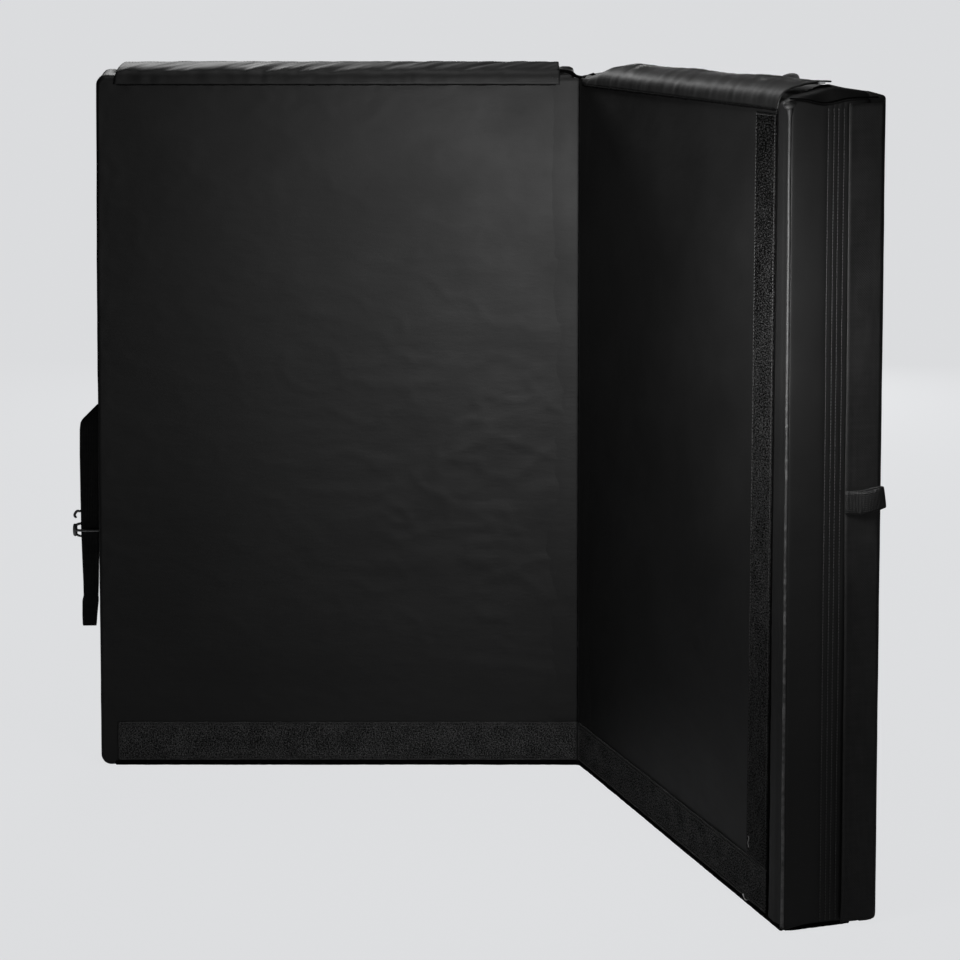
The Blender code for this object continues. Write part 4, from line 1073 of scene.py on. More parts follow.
def flap_grid(side, rows, skip=0.0):
    """The surface of a top flap, from its sewn line up over the edge and back, and its outward directions."""
    flap = FLAPS[side]
    profile = smooth_path(FLAP_PROFILE, 0.012, 2)
    steps = np.hypot(np.diff(profile[:, 0]) * FLAP_REACH, np.diff(profile[:, 1]) * FLAP_LIFT)
    reach = np.concatenate([[0], np.cumsum(steps)])
    at = np.linspace(skip, 1.0, rows) * reach[-1]
    out = np.interp(at, reach, profile[:, 0])
    up = np.interp(at, reach, profile[:, 1])
    share = np.linspace(0, 1, FLAP_COLUMNS)
    swell = np.interp(share, np.linspace(0, 1, len(flap["swell"])), flap["swell"])
    swell = np.convolve(np.pad(swell, 12, mode="edge"), np.ones(25) / 25, "valid")
    total = 0.012 + flap["rise"] * swell
    if side == "right":
        total = 0.0124 + (total - 0.0124) * np.interp(share, FLAP_SHARES, FLAP_RISES)
    span = flap["end"] - flap["start"]
    back = np.linspace(skip, 1, rows)[None, :]
    u = flap["start"] + span * share[:, None] - flap["slant"] * share[:, None] ** 8 * back
    w = FLAP_ROOT_W + FLAP_REACH * np.broadcast_to(out, u.shape)
    z = FLAP_ROOT_Z + total[:, None] * up[None, :]
    along = np.broadcast_to(back, u.shape)
    across = along * 0.08
    diagonal = layered((u + across * 0.9) * 46.0, 0, across * 14.0, flap["seed"], 2)
    pucker = layered(u * 46.0, 0, across * 12.0, flap["seed"] + 5, 2)
    loose = smooth(0.12, 0.35, along) * (1 - 0.35 * smooth(0.85, 1.0, along))
    sewn = np.exp(-((along - 0.14) / 0.14) ** 2)
    if side == "right":
        swellings = 0.0007 * diagonal * loose + 0.0014 * pucker * sewn * 0.8
        z = z + 0.0010 * smooth(0.75, 1.0, along) * np.sin(u * 31.0) * smooth(0.06, 0.14, u)
    else:
        swellings = 0.0015 * diagonal * loose + 0.0007 * pucker * sewn
    grid = np.stack([u, w, z], 2)
    normal = np.cross(np.gradient(grid, axis=0), np.gradient(grid, axis=1))
    normal /= np.linalg.norm(normal, axis=2, keepdims=True)
    if normal[:, -1, 2].mean() < 0:
        normal = -normal
    return grid + normal * swellings[..., None], normal


def add_top_flap(panel):
    """A top flap with its hook tape, both wrinkled alike, that ride on the flap's body."""
    side = panel.name
    flap = FLAPS[side]
    body = f"{side}_top_flap"
    grid, normal = flap_grid(side, FLAP_ROWS)
    hem = np.where(np.arange(FLAP_ROWS)[::-1] < 3, FLAP_HEM, FLAP_THICK)
    hem = np.broadcast_to(hem, grid.shape[:2])
    piece = cut_sheet(f"{body}_cloth", panel, grid, hem, "coated", body, body)
    tape, tape_normal = flap_grid(side, TAPE_ROWS, TAPE_FROM)
    tape = (tape - tape_normal * TAPE_UNDER)[flap["tape_from"]:]
    name = f"{body}_hook_tape"
    cut_sheet(f"{name}_pile", panel, tape[3:-3, :-1], TAPE_THICK, "hook", body, name)
    # A dark wire along the sewn line: the seam's edge and its painted shadow line, pulled in unevenly by the
    # stitches
    seam = grid[2:-2, 0] + np.array([0.0, -0.0006, -0.0008])
    seam[:, 2] += 0.0006 * noise(seam[:, 0] * 60, 0, 0, 251)
    thick = flap["seam"] * (1 + 0.35 * noise(*(seam.T * 300.0), 253))
    wire(f"{body}_seam", panel, seam, thick, "binding", None, 8)
    return grid, normal


# Foam access flaps at the outer ends
ACCESS_AREA = (0.0725, 0.1128, 0.0060, 0.8980)
TAPE_AREA = (0.0750, 0.0970, 0.030, 0.874)
ACCESS_U = 0.6219
ACCESS_LIFT = 0.0016
ACCESS_THICK = 0.0010
ACCESS_HEM = 0.0017
ACCESS_TAPE_THICK = 0.0008
ACCESS_WIDE = 0.0403
ACCESS_SEEDS = {"left": 311, "right": 331}


def access_grid(side):
    """A grid over an outer end that stands out a little, most at its free edge."""
    w, z = grid_over(ACCESS_AREA, 14, 200)
    low_w, high_w, low_z, _ = ACCESS_AREA
    free = 1 - (w - low_w) / (high_w - low_w)
    seed = ACCESS_SEEDS[side]
    wave = layered(w * 14.0, 0, z * 9.0, seed)
    curl = noise(w * 4.0, 0, z * 6.0, seed + 4)
    slack = smooth(0.45, 0.30, z) * smooth(0.0, 0.05, z)
    out = ACCESS_U + 0.0007 * wave + ACCESS_LIFT * free ** 2 * (0.35 + 0.5 * curl + 1.6 * slack).clip(0)
    bow = 0.0010 * free * noise(0, 0, z * 5.0, seed + 8)
    low = smooth(0.9, 1.0, (w + bow - low_w) / ACCESS_WIDE) * np.exp(-((z - low_z) / 0.008) ** 2)
    return np.stack([out, w + bow, z + 0.008 * low], 2)


def add_access_flap(panel):
    """The woven flap over the foam opening, and the tapes under it."""
    side = panel.name
    body = f"{side}_access_flap"
    grid = access_grid(side)
    hem = np.full(grid.shape[:2], ACCESS_THICK)
    hem[:2] = ACCESS_HEM
    points, faces, cloth = slab(grid, hem)
    piece = add_piece(f"{body}_cloth", panel, points, faces, "woven", cloth[:, ::-1], body, body)
    w, z = grid_over(TAPE_AREA, 12, 160)
    rough = 0.00008 * noise(w * 400, 0, z * 400, 17)
    for finish, base, rides in (("loop", 0.61925, panel.body), ("hook", 0.62035, body)):
        name = f"{side}_access_{finish}_tape"
        tape = np.stack([base + rough, w, z], 2)
        cut_sheet(f"{name}_strip", panel, tape, ACCESS_TAPE_THICK, finish, rides, name)


# Fold
FOLD_TURN = math.radians(71.5)
WEB_W = 0.0032
WEB_BEHIND_W = 0.0046
WEB_CLOTH_THICK = 0.0009
BLEND_FROM = 0.006


def from_right(u, w):
    """A right panel's place at rest, in the left panel's directions."""
    across, along = math.cos(FOLD_TURN), math.sin(FOLD_TURN)
    return -(u * across + w * along), w * across - u * along


def blend_over_fold(piece, left, right):
    """Bakes the piece's place over the fold into its mesh."""
    start, end = (tuple(panel.places([[BLEND_FROM, WEB_W, 0]])[0]) for panel in (left, right))
    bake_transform(piece)


def web_path(depth):
    """The web's path from the left panel over the crease to the right one, its ends sunk into both faces."""
    half = [(0.040, depth + 0.0017), (0.026, depth + 0.0006), (0.016, depth), (0.007, depth)]
    crease = (-depth * math.tan(FOLD_TURN / 2), depth)
    route = half + [crease] + [from_right(u, w) for u, w in reversed(half)]
    path = smooth_path(route, 0.0015, 2)
    at = np.linspace(0, len(path) - 1, 60)
    return np.stack([np.interp(at, np.arange(len(path)), path[:, axis]) for axis in (0, 1)], 1)


def add_fold_web(left, right):
    """The fabric over the fold, in one piece from panel to panel, which passes behind the bottom strips."""
    over, behind = web_path(WEB_W), web_path(WEB_BEHIND_W)
    z = np.linspace(0.0010, 0.9000, 190)
    share = smooth(0.0560, 0.0600, z)[None, :, None]
    path = over[:, None] * share + behind[:, None] * (1 - share)
    grid_z = np.broadcast_to(z, path.shape[:2])
    w = path[..., 1] + 0.00025 * noise(np.linspace(0, 2.4, len(over))[:, None], 0, grid_z * 26.0, 401)
    grid = np.stack([path[..., 0], w, grid_z], 2)
    piece = cut_sheet("fold_crease_cloth", left, grid, WEB_CLOTH_THICK, "coated", BLENDED)
    blend_over_fold(piece, left, right)
    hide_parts("fold_crease_web")


def add_fold_seam(left):
    """The dark sewn line down the middle of the crease, where both faces meet."""
    z = np.linspace(0.0600, 0.8985, 380)
    jag = 0.0003 * noise(0, 0, z * 40.0, 421)
    thick = 0.0012 * (1 + 0.2 * noise(5.0, 0, z * 120.0, 423))
    path = route_of(jag - 0.0014, 0.0026, z)
    wire("fold_crease_seam", left, path, thick, "binding", None, 8)


def add_fold_binding(left, right):
    """The thick dark binding at the top of the fold, from one panel's top edge to the other's."""
    deep = 0.011
    route = [(0.027, deep, 0.9086), (0.017, deep, 0.9088), (0.009, deep, 0.9064), (0.003, deep * 0.6, 0.9018)]
    far = [(0.003, deep * 0.6, 0.9012), (0.010, deep, 0.9030), (0.024, deep, 0.9056)]
    crease = (-WEB_W * math.tan(FOLD_TURN / 2) - 0.0005, 0.0024, 0.9004)
    route = route + [crease] + [(*from_right(u, w), z) for u, w, z in far]
    path = smooth_path(route, 0.0014)
    rough = noise(*(path.T * 260), 431)
    piece = wire("fold_top_binding", left, path, 0.0022 + 0.0004 * rough, "binding", BLENDED)
    blend_over_fold(piece, left, right)


# Trim
BUNCH = (
    (0.6085, 0.0030, 0.8985), (0.6130, 0.0022, 0.8975),
    (0.6180, 0.0034, 0.8960), (0.6195, 0.0100, 0.8990),
)
LOWER_THREAD = (
    (0.5216, 0.0021, 0.0108), (0.5256, 0.0016, 0.0074),
    (0.5300, 0.0018, 0.0066), (0.5340, 0.0021, 0.0082),
)
UPPER_THREAD = (
    (0.5364, 0.0021, 0.0690), (0.5340, 0.0015, 0.0740),
    (0.5375, 0.0016, 0.0780), (0.5355, 0.0021, 0.0810),
)


def add_end_trim(panel):
    """The right end's raised corner fold with the bunch at its top, both lighter than the cover as a painted
    highlight, its seams and its bottom hem.
    """
    z = np.linspace(0.0065, 0.8945, 300)
    wander = 0.0005 * noise(0, 0, z * 9.0, 441)
    swell = noise(3.0, 0, z * 34.0, 443)
    radius = 0.0018 + 0.00020 * swell + 0.0016 * smooth(0.882, 0.8945, z) + 0.0004 * smooth(0.03, 0.01, z)
    path = route_of(OUTER_END - 0.0014 + wander, FACE_W + 0.0012 + wander * 0.5, z)
    # The corner fold and its bunch take the painted highlight finish
    wire("right_corner_fold", panel, path, radius, "painted_highlight")
    bunch = smooth_path(BUNCH, 0.0012)
    share = np.linspace(0, 1, len(bunch))
    wire("right_corner_bunch", panel, bunch, 0.0014 + 0.0028 * np.sin(share * math.pi), "painted_highlight")
    w = np.linspace(0.0045, 0.1080, 90)
    jog = 0.0003 * noise(0, w * 120, 0, 447)
    seam = route_of(OUTER_END - 0.0004, w, HEIGHT - end_dip(w) + 0.0003 + jog)
    wire("right_end_top_seam", panel, seam, 0.0009, "binding")
    w = np.linspace(0.011, 0.086, 60)
    jog = 0.0006 * noise(0, w * 90, 0, 449)
    hem = route_of(OUTER_END - 0.0048 - 0.0020 * smooth(0.020, 0.011, w), w, 0.0034 + np.abs(jog))
    wire("right_bottom_hem", panel, hem, 0.0032, "binding")
    # A near-black wire down the seam's groove: the seam's fold edge, and painted shadow of the groove
    z = np.linspace(0.008, 0.893, 420)
    jag = 0.0005 * noise(0, 0, z * 70.0, 77) + 0.0007 * noise(0, 0, z * 9.0, 78)
    radius = (0.0011 + 0.0006 * smooth(0.4, 0.05, z)) * (1 + 0.45 * noise(0, 0, z * 160.0, 461))
    seam_u = GROOVE_U + jag + lean_out(GROOVE_U, z)
    wire("right_side_seam", panel, route_of(seam_u, FACE_W + 0.0004, z), radius, "binding", None, 8)


def add_bottom_shade_piping(panel, end_u, radius):
    """The dark edge binding that runs along the bottom, under the loop strip; its near-black band is partly
    painted shade under the rounded bottom edge.
    """
    u = np.linspace(-0.0016, end_u, 260)
    rough = noise(u * 130, 0, 2.5, 471)
    wave = noise(u * 22, 0, 1.5, 473)
    path = route_of(u, 0.0026 + radius, radius + 0.0003 + 0.0003 * np.abs(wave))
    wire(f"{panel.name}_bottom_piping", panel, path, radius * (1 + 0.06 * rough), "binding")


def add_thread_ends(panel):
    """Two loose ends of sewing thread on the strips near the right panel's outer end."""
    for place, route, radius in (("lower", LOWER_THREAD, 0.00065), ("upper", UPPER_THREAD, 0.00040)):
        wire(f"right_{place}_thread_end", panel, smooth_path(route, 0.0006), radius, "thread", None, 6)


# Straps
CATCH_ROOT = (0.6233, 0.0725)
CATCH_DEEP = 0.0104
CATCH_LONG = 0.044
CATCH_Z = 0.4688
CATCH_TIP_RISE = 0.0052
CATCH_REACH = (0.0, 0.35, 0.72, 0.93, 1.0, 0.94, 0.74, 0.34, 0.0)
CATCH_BELLY = (0.0, 0.0, 0.0, 0.14, 0.50, 0.88, 1.0, 0.48, 0.19)

# The closure strap: its middle, its thicknesses, its fold's two ends, and the levels of its parts
STRAP_W = SEWN_BACK + WEB_THICK / 2
STRAP_Z = 0.4455
HANG_THICK = 0.0015
TAIL_THICK = 0.0030
LEVEL_THICK = 0.0014
FOLD_INNER = 0.6378
FOLD_OUTER = 0.6632
SLOPE_LOW = 0.4340
HANG_TOP = 0.4328
HANG_END = 0.1565
TAIL_Z = 0.1955

# The hanging part's inner and outer edge at each height, from the tail up
HANG_Z = (0.1565, 0.1700, 0.1900, 0.1955, 0.2150, 0.2500, 0.2900, 0.3300, 0.3900, 0.4240, 0.4328)
HANG_INNER = (0.6440, 0.6430, 0.6408, 0.6408, 0.6400, 0.6394, 0.6384, 0.6380, 0.6380, 0.6378, 0.6378)
HANG_OUTER = (0.6612, 0.6616, 0.6614, 0.6600, 0.6602, 0.6614, 0.6624, 0.6628, 0.6630, 0.6624, 0.6612)

# The wire hook: its middle, its wire's radius, its half width and half height, its bends, its arm and its bar
HOOK_U = 0.6506
HOOK_W = 0.1246
HOOK_Z = 0.2860
HOOK_WIRE = 0.0018
HOOK_WIDE = 0.0205
HOOK_TALL = 0.0090
HOOK_BEND = 0.0045
HOOK_RISE = 0.0255
HOOK_TIP = 0.0085
HOOK_TURN = 0.0127 + 0.0030

# The haul loop's bow, along the panel and out from its back
HAUL_SPAN = (-0.5, -0.47, -0.36, -0.18, 0.0, 0.18, 0.36, 0.47, 0.5)
HAUL_REACH = (0.0, 0.14, 0.62, 0.93, 1.0, 0.93, 0.62, 0.14, 0.0)
HAUL_PATCH_TOP = 0.8930
PATCH_STEP = 0.004
PATCH_W = 0.1243
PATCH_CLOTH = 0.0011
PATCH_HEM = 0.0003

# The carrying straps on the right panel's back
SHOULDER_U = 0.095
TAB_U = 0.061
HIP_U = 0.220
PAD_STEP = 0.0045
PAD_WIDE = 0.064
PAD_TAPER = 0.014
PAD_FALLS = (0.0, 0.06, 0.16, 0.32, 0.50, 0.68, 0.84, 0.94, 1.0)
PAD_BOWS = (0.0, 0.14, 0.48, 0.86, 1.0, 0.90, 0.62, 0.42, 0.42)
BUCKLE_HALF = 0.00225
LOCK_BAR = 0.0045
LOCK_TALL = 0.030
ANCHOR_Z = (0.170, 0.210)
HIP_Z = 0.340
HIP_DROP = 0.170


def add_catch_loop(panel):
    """The webbing loop on the right end, bent back on itself and leaning up at its tip."""
    root_u, root_w = CATCH_ROOT
    bends = zip(CATCH_BELLY, CATCH_REACH)
    flat = [(root_u + CATCH_DEEP * out, root_w + CATCH_LONG * back) for out, back in bends]
    path = smooth_path(flat, 0.0012, 2)
    share = np.clip((path[:, 1] - root_w) / CATCH_LONG, 0, 1)
    points = route_of(path[:, 0], path[:, 1], CATCH_Z + CATCH_TIP_RISE * smooth(0.35, 1.0, share))
    width = WEBBING - 0.0028 * smooth(0.3, 1.0, share)
    lean = 0.16 * smooth(0.3, 0.9, share)
    side = route_of(np.sin(lean) * 0.25, -np.sin(lean), np.cos(lean))
    ribbon("catch_loop_webbing", panel, points, side, width, "catch_loop", "catch_loop")


def corner_off(share):
    """How far the fold's corner is rounded off, at a share of the strap's width from it."""
    return 0.0024 * max(0.0, 1 - share / 0.22) ** 2


def add_closure_strap(panel):
    """The anchor on the back, and the strap that folds over at 45 degrees and hangs beside the pad."""
    anchor = route_of(np.linspace(0.5285, 0.6269, 42), STRAP_W, STRAP_Z)
    ribbon("closure_strap_anchor_webbing", panel, anchor, (0, 0, 1), WEBBING, "closure_strap_anchor")
    low, high = STRAP_Z - WEBBING / 2, STRAP_Z + WEBBING / 2
    across = np.linspace(0, 1, 11)
    # The level part ends on the fold's slope, so each of its lengths has its own end.
    rows = 16
    level = np.zeros((rows, 11, 3))
    for column, share in enumerate(across):
        end_u = FOLD_OUTER - (FOLD_OUTER - FOLD_INNER) * share - corner_off(share)
        level[:, column, 0] = np.linspace(0.6280, end_u, rows)
        level[:, column, 2] = low + WEBBING * share
    level[:, :, 1] = STRAP_W + 0.0009
    level[:, :, 1] -= 0.0005 * smooth(0, 1, np.linspace(0, 1, rows))[:, None]
    body = "closure_strap"
    cut_sheet("closure_strap_level", panel, level, LEVEL_THICK, "webbing", body)
    # The hanging part starts on the same slope and runs down to its tail.
    heights = np.linspace(HANG_END, HANG_TOP, 110)[::-1]
    inner_u = np.interp(heights, HANG_Z, HANG_INNER)
    outer_u = np.interp(heights, HANG_Z, HANG_OUTER)
    hang = np.zeros((len(heights) + 8, 11, 3))
    for column, share in enumerate(across):
        top_z = high - (high - low) * share
        if top_z > SLOPE_LOW:
            hang[:8, column, 2] = np.linspace(top_z, SLOPE_LOW, 8)
        else:
            hang[:8, column, 2] = 0.4334 + np.linspace(0.0008, 0.0, 8)
        hang[:8, column, 0] = FOLD_INNER + (FOLD_OUTER - FOLD_INNER) * share - corner_off(1 - share)
        hang[8:, column, 0] = inner_u + (outer_u - inner_u) * share
        hang[8:, column, 2] = heights
    u, z = hang[:, :, 0], hang[:, :, 2]
    sway = 0.0012 * np.sin((HANG_TOP - z) / 0.2763 * math.pi * 1.3) * smooth(0.43, 0.38, z)
    off_bar = 1 - np.exp(-((z - HOOK_Z) / 0.010) ** 2)
    hang[:, :, 1] = STRAP_W - 0.0006 + sway * off_bar
    hang[:, :, 1] += 0.0005 * noise(u * 60, 0, z * 24, 501) * off_bar
    thick = np.where(z < TAIL_Z, TAIL_THICK, HANG_THICK)
    cut_sheet("closure_strap_webbing", panel, hang, thick, "webbing", body, "closure_strap")


def add_hook(panel):
    """The wire hook: frame and arm behind the strap, one bar before it, sleeves where bar and frame meet."""
    clear = WEB_THICK / 2 + CLEAR + HOOK_WIRE
    behind, before = HOOK_W + clear, HOOK_W - clear
    wide, tall, bend, rise, tip = HOOK_WIDE, HOOK_TALL, HOOK_BEND, HOOK_RISE, HOOK_TIP
    arm = [
        (wide - 0.0016, rise - tip), (wide + 0.0006, rise - tip + 0.0012), (wide + 0.0008, rise - bend),
        (wide - bend / 2, rise), (wide - bend, rise), (-wide + bend, rise), (-wide, rise - bend),
        (-wide, -tall + bend), (-wide + bend, -tall), (wide - bend, -tall), (wide, -tall + bend),
        (wide, tall - bend), (wide - bend, tall), (-wide + 0.0046, tall),
    ]
    frame_path = smooth_path([(HOOK_U + a, behind, HOOK_Z + b) for a, b in arm], 0.0011)
    wire("closure_hook_frame", panel, frame_path, HOOK_WIRE, "steel", "closure_hook", replaces="closure_hook")
    bar = ((wide, behind), (HOOK_TURN, before), (-HOOK_TURN, before), (-wide, behind))
    bar_path = smooth_path([(HOOK_U + off, w, HOOK_Z) for off, w in bar], 0.0011)
    wire("closure_hook_bar", panel, bar_path, HOOK_WIRE, "steel", "closure_hook")
    heights = np.linspace(-0.0078, 0.0078, 17)
    swell = 0.0019 + 0.0014 * np.sqrt(np.clip(1 - (heights / 0.0080) ** 2, 0, 1))
    for name, sign in (("outer", 1), ("inner", -1)):
        sleeve = route_of(HOOK_U + sign * wide, behind - 0.0003, HOOK_Z + heights)
        wire(f"closure_hook_{name}_sleeve", panel, sleeve, swell, "steel", "closure_hook", 16)


def add_haul_loop(panel):
    """The webbing handle that leans up over the back's top edge."""
    flat = [(MIDDLE - 0.072, SEWN_WEB_W)]
    flat += [(MIDDLE + 0.1 * a, SEWN_WEB_W + 0.027 * b) for a, b in zip(HAUL_SPAN, HAUL_REACH)]
    flat += [(MIDDLE + 0.072, SEWN_WEB_W)]
    path = smooth_path(flat, 0.0018, 2)
    out = path[:, 1] - SEWN_WEB_W
    points = route_of(path[:, 0], path[:, 1], HAUL_PATCH_TOP - (WEBBING + 0.006) / 2 + out)
    tilt = 0.5 * smooth(0.0, 0.02, out)
    side = route_of(0, np.sin(tilt) * 0.35, 1)
    side /= np.linalg.norm(side, axis=1, keepdims=True)
    ribbon("haul_loop_webbing", panel, points, side, WEBBING, "haul_loop")


def add_patch(name, panel, area):
    """A reinforcement patch sewn flat on the back, with a turned edge."""
    low_u, high_u, low_z, high_z = area
    counts = [max(12, int(reach / PATCH_STEP)) for reach in (high_u - low_u, high_z - low_z)]
    u, z = grid_over(area, *counts)
    wave = 0.00010 * noise(u * 60.0, 0, z * 60.0, 607)
    thick = PATCH_CLOTH + PATCH_HEM * (1 - smooth(0.003, 0.005, to_edge(u, z, area)))
    cut_sheet(f"{name}_cloth", panel, np.stack([u, PATCH_W + wave, z], 2), thick, "webbing", replaces=name)


def shoulder_line():
    """The middle of a shoulder pad, from its sewn top to its lower end, as w and z."""
    start_w = SEWN_BACK + PATCH_THICK + CLEAR + 0.005
    return [(start_w + 0.046 * bow, HEIGHT - 0.134 - 0.375 * fall) for bow, fall in zip(PAD_BOWS, PAD_FALLS)]


def upright_strap(name, panel, middle_u, route, body=None):
    """Webbing that runs up and down the back, along a route given as w and z."""
    bent = smooth_path(route, 0.0012, 2)
    ribbon(f"{name}_strap", panel, route_of(middle_u, *bent.T), (1, 0, 0), WEBBING, name, body)


def add_shoulder_pad(name, panel, middle_u):
    """The padded part of a shoulder strap, with a bound edge."""
    path = smooth_path(shoulder_line(), PAD_STEP, 2)
    shares = np.linspace(-0.5, 0.5, 25)
    ends = np.minimum(np.arange(len(path)), np.arange(len(path))[::-1]) * PAD_STEP
    width = PAD_WIDE - PAD_TAPER * (1 - smooth(0.0, 0.018, ends))
    u = middle_u + width[:, None] * shares[None, :]
    grid = np.stack([u, np.broadcast_to(path[:, :1], u.shape), np.broadcast_to(path[:, 1:], u.shape)], 2)
    across = np.abs(shares * 2)
    crown = 0.0035 + 0.0070 * np.sqrt(np.clip(1 - np.clip(across / 0.86, 0, 1) ** 4, 0, 1))
    crown = np.where(across > 0.93, 0.0042, crown)
    dents = 1 - 0.10 * np.abs(layered(*(np.moveaxis(grid, 2, 0) * 34.0), 701, 2))
    thick = crown[None, :] * dents * (0.55 + 0.45 * smooth(0.0, 0.020, ends))[:, None]
    cut_sheet(f"{name}_cloth", panel, grid, thick, "padded", replaces=name)


def add_shoulder_strap(panel, side, middle_u):
    """A padded strap, its tab, its buckle and the webbing below."""
    add_shoulder_pad(f"{side}_shoulder_pad", panel, middle_u)
    end_w, end_z = shoulder_line()[-1]
    beside = BUCKLE_HALF + CLEAR + WEB_THICK / 2
    past_bar = LOCK_BAR + CLEAR + WEB_THICK / 2
    before, behind = end_w - beside, end_w + beside
    lock_top = end_z - 0.012
    lock_low = lock_top - LOCK_TALL
    high_turn, low_turn = lock_top - past_bar, lock_low + past_bar
    tab = [(before, end_z + 0.006), (before, high_turn), (behind, high_turn), (behind, end_z + 0.006)]
    lower = [(SEWN_WEB_W, z) for z in ANCHOR_Z]
    lower += [(before, lock_low), (before, low_turn), (behind, low_turn), (behind, lock_low)]
    lower += [(behind + 0.001, lock_low - 0.050), (behind - 0.0005, lock_low - 0.090)]
    upright_strap(f"{side}_lock_tab", panel, middle_u, tab)
    upright_strap(f"{side}_lower_webbing", panel, middle_u, lower)
    moulded_copy(f"{side}_ladder_lock", panel.body)
    add_patch(f"{side}_lower_anchor", panel, (middle_u - 0.020, middle_u + 0.020, *ANCHOR_Z))


def add_hip_belt(panel, side, middle_u, buckle):
    """Half of the hip belt: a patch, the webbing from it, and half of the buckle."""
    add_patch(f"{side}_hip_patch", panel, (middle_u - 0.0225, middle_u + 0.0225, 0.3175, 0.3625))
    buckle_w = SEWN_WEB_W + WEB_THICK / 2 + CLEAR + BUCKLE_HALF
    around = buckle_w + BUCKLE_HALF + CLEAR + WEB_THICK / 2
    bar_top = HIP_Z - HIP_DROP
    under = bar_top - 0.0030 - CLEAR - WEB_THICK / 2
    route = [(SEWN_WEB_W, HIP_Z), (SEWN_WEB_W, under), (around, under), (around, bar_top + 0.022)]
    body = f"{side}_hip_belt"
    upright_strap(f"{side}_hip_webbing", panel, middle_u, route, body)
    moulded_copy(buckle, body)


# Stitches, each kind with its pitch, its length and its thread's radius
STITCH_SOCKETS = ("Pitch", "Stitch length", "Thread radius")
END_STITCH = (0.0034, 0.0030, 0.00050)
STRIP_STITCH = (0.0038, 0.0027, 0.00036)
FLAP_STITCH = (0.0040, 0.0028, 0.00034)
TACK_STITCH = (0.0060, 0.0018, 0.00080)
BACK_STITCH = (0.0030, 0.0022, 0.00036)
STRIP_STITCH_W = 0.00235
STRIP_INSET = 0.0018
BACK_STITCH_W = 0.12505
ANCHOR_BOX_Z = (0.4358, 0.4552)
SIDE_STRIP_BOX = (0.5292, 0.5800, 0.0586, 0.886)
SIDE_STRIP_SHIFT = 0.0078
FLAP_STITCH_ROW = 22
STITCH_OUT = 0.0008
OVER_WEBBING = 0.0018


def stitch_tree(material):
    """A node tree that sets a short stitch at even steps along every line of a mesh."""
    tree = bpy.data.node_groups.new("stitch_rows", "GeometryNodeTree")
    face = tree.interface
    face.new_socket("Geometry", in_out="INPUT", socket_type="NodeSocketGeometry")
    for name in STITCH_SOCKETS:
        face.new_socket(name, in_out="INPUT", socket_type="NodeSocketFloat")
    face.new_socket("Geometry", in_out="OUTPUT", socket_type="NodeSocketGeometry")
    add, link = tree.nodes.new, tree.links.new
    start, end = add("NodeGroupInput"), add("NodeGroupOutput")
    curve = add("GeometryNodeMeshToCurve")
    spots = add("GeometryNodeCurveToPoints")
    spots.mode = "LENGTH"
    ball = add("GeometryNodeMeshUVSphere")
    ball.inputs["Segments"].default_value = 6
    ball.inputs["Rings"].default_value = 5
    ball.inputs["Radius"].default_value = 1.0
    size = add("ShaderNodeCombineXYZ")
    half = add("ShaderNodeMath")
    half.operation = "MULTIPLY"
    half.inputs[1].default_value = 0.5
    shape = add("GeometryNodeTransform")
    place = add("GeometryNodeInstanceOnPoints")
    real = add("GeometryNodeRealizeInstances")
    coat = add("GeometryNodeSetMaterial")
    coat.inputs["Material"].default_value = material
    link(start.outputs["Geometry"], curve.inputs["Mesh"])
    link(curve.outputs["Curve"], spots.inputs["Curve"])
    link(start.outputs["Pitch"], spots.inputs["Length"])
    link(start.outputs["Stitch length"], half.inputs[0])
    link(start.outputs["Thread radius"], size.inputs["X"])
    link(start.outputs["Thread radius"], size.inputs["Y"])
    link(half.outputs[0], size.inputs["Z"])
    link(ball.outputs["Mesh"], shape.inputs["Geometry"])
    link(size.outputs["Vector"], shape.inputs["Scale"])
    link(spots.outputs["Points"], place.inputs["Points"])
    link(spots.outputs["Rotation"], place.inputs["Rotation"])
    link(shape.outputs["Geometry"], place.inputs["Instance"])
    link(place.outputs["Instances"], real.inputs["Geometry"])
    link(real.outputs["Geometry"], coat.inputs["Geometry"])
    link(coat.outputs["Geometry"], end.inputs["Geometry"])
    return tree


def sew(name, tree, body, rows, stitch):
    """Plain stitches along rows of world points, as one mesh that rides on a body."""
    verts, edges = [], []
    for row in rows:
        start = len(verts)
        verts += [tuple(point) for point in row]
        edges += [(start + step, start + step + 1) for step in range(len(row) - 1)]
    lines_mesh = bpy.data.meshes.new(f"{name}_rows")
    lines_mesh.from_pydata(verts, edges, [])
    holder = bpy.data.objects.new(f"{name}_rows", lines_mesh)
    bpy.context.scene.collection.objects.link(holder)
    modifier = holder.modifiers.new("stitches", "NODES")
    modifier.node_group = tree
    values = dict(zip(STITCH_SOCKETS, stitch))
    for item in tree.interface.items_tree:
        if item.in_out == "INPUT" and item.name in values:
            modifier[item.identifier] = values[item.name]
    bpy.context.view_layer.update()
    graph = bpy.context.evaluated_depsgraph_get()
    mesh = bpy.data.meshes.new_from_object(holder.evaluated_get(graph))
    bpy.data.objects.remove(holder)
    mesh.shade_smooth()
    piece = bpy.data.objects.new(name, mesh)
    bpy.context.scene.collection.objects.link(piece)
    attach(piece, body)


def straight(panel, first, last, spacing=0.012, wobble=0.0, seed=0):
    """World points of a straight seam between two panel points, with a hand's wobble."""
    first, last = np.array(first, float), np.array(last, float)
    length = np.linalg.norm(last - first)
    share = np.linspace(0, 1, max(2, int(length / spacing) + 1))
    points = first + (last - first) * share[:, None]
    if wobble:
        points[:, 1] += noise(share * length * 9, 0, seed * 3.7, 901 + seed) * wobble
    return panel.places(points)


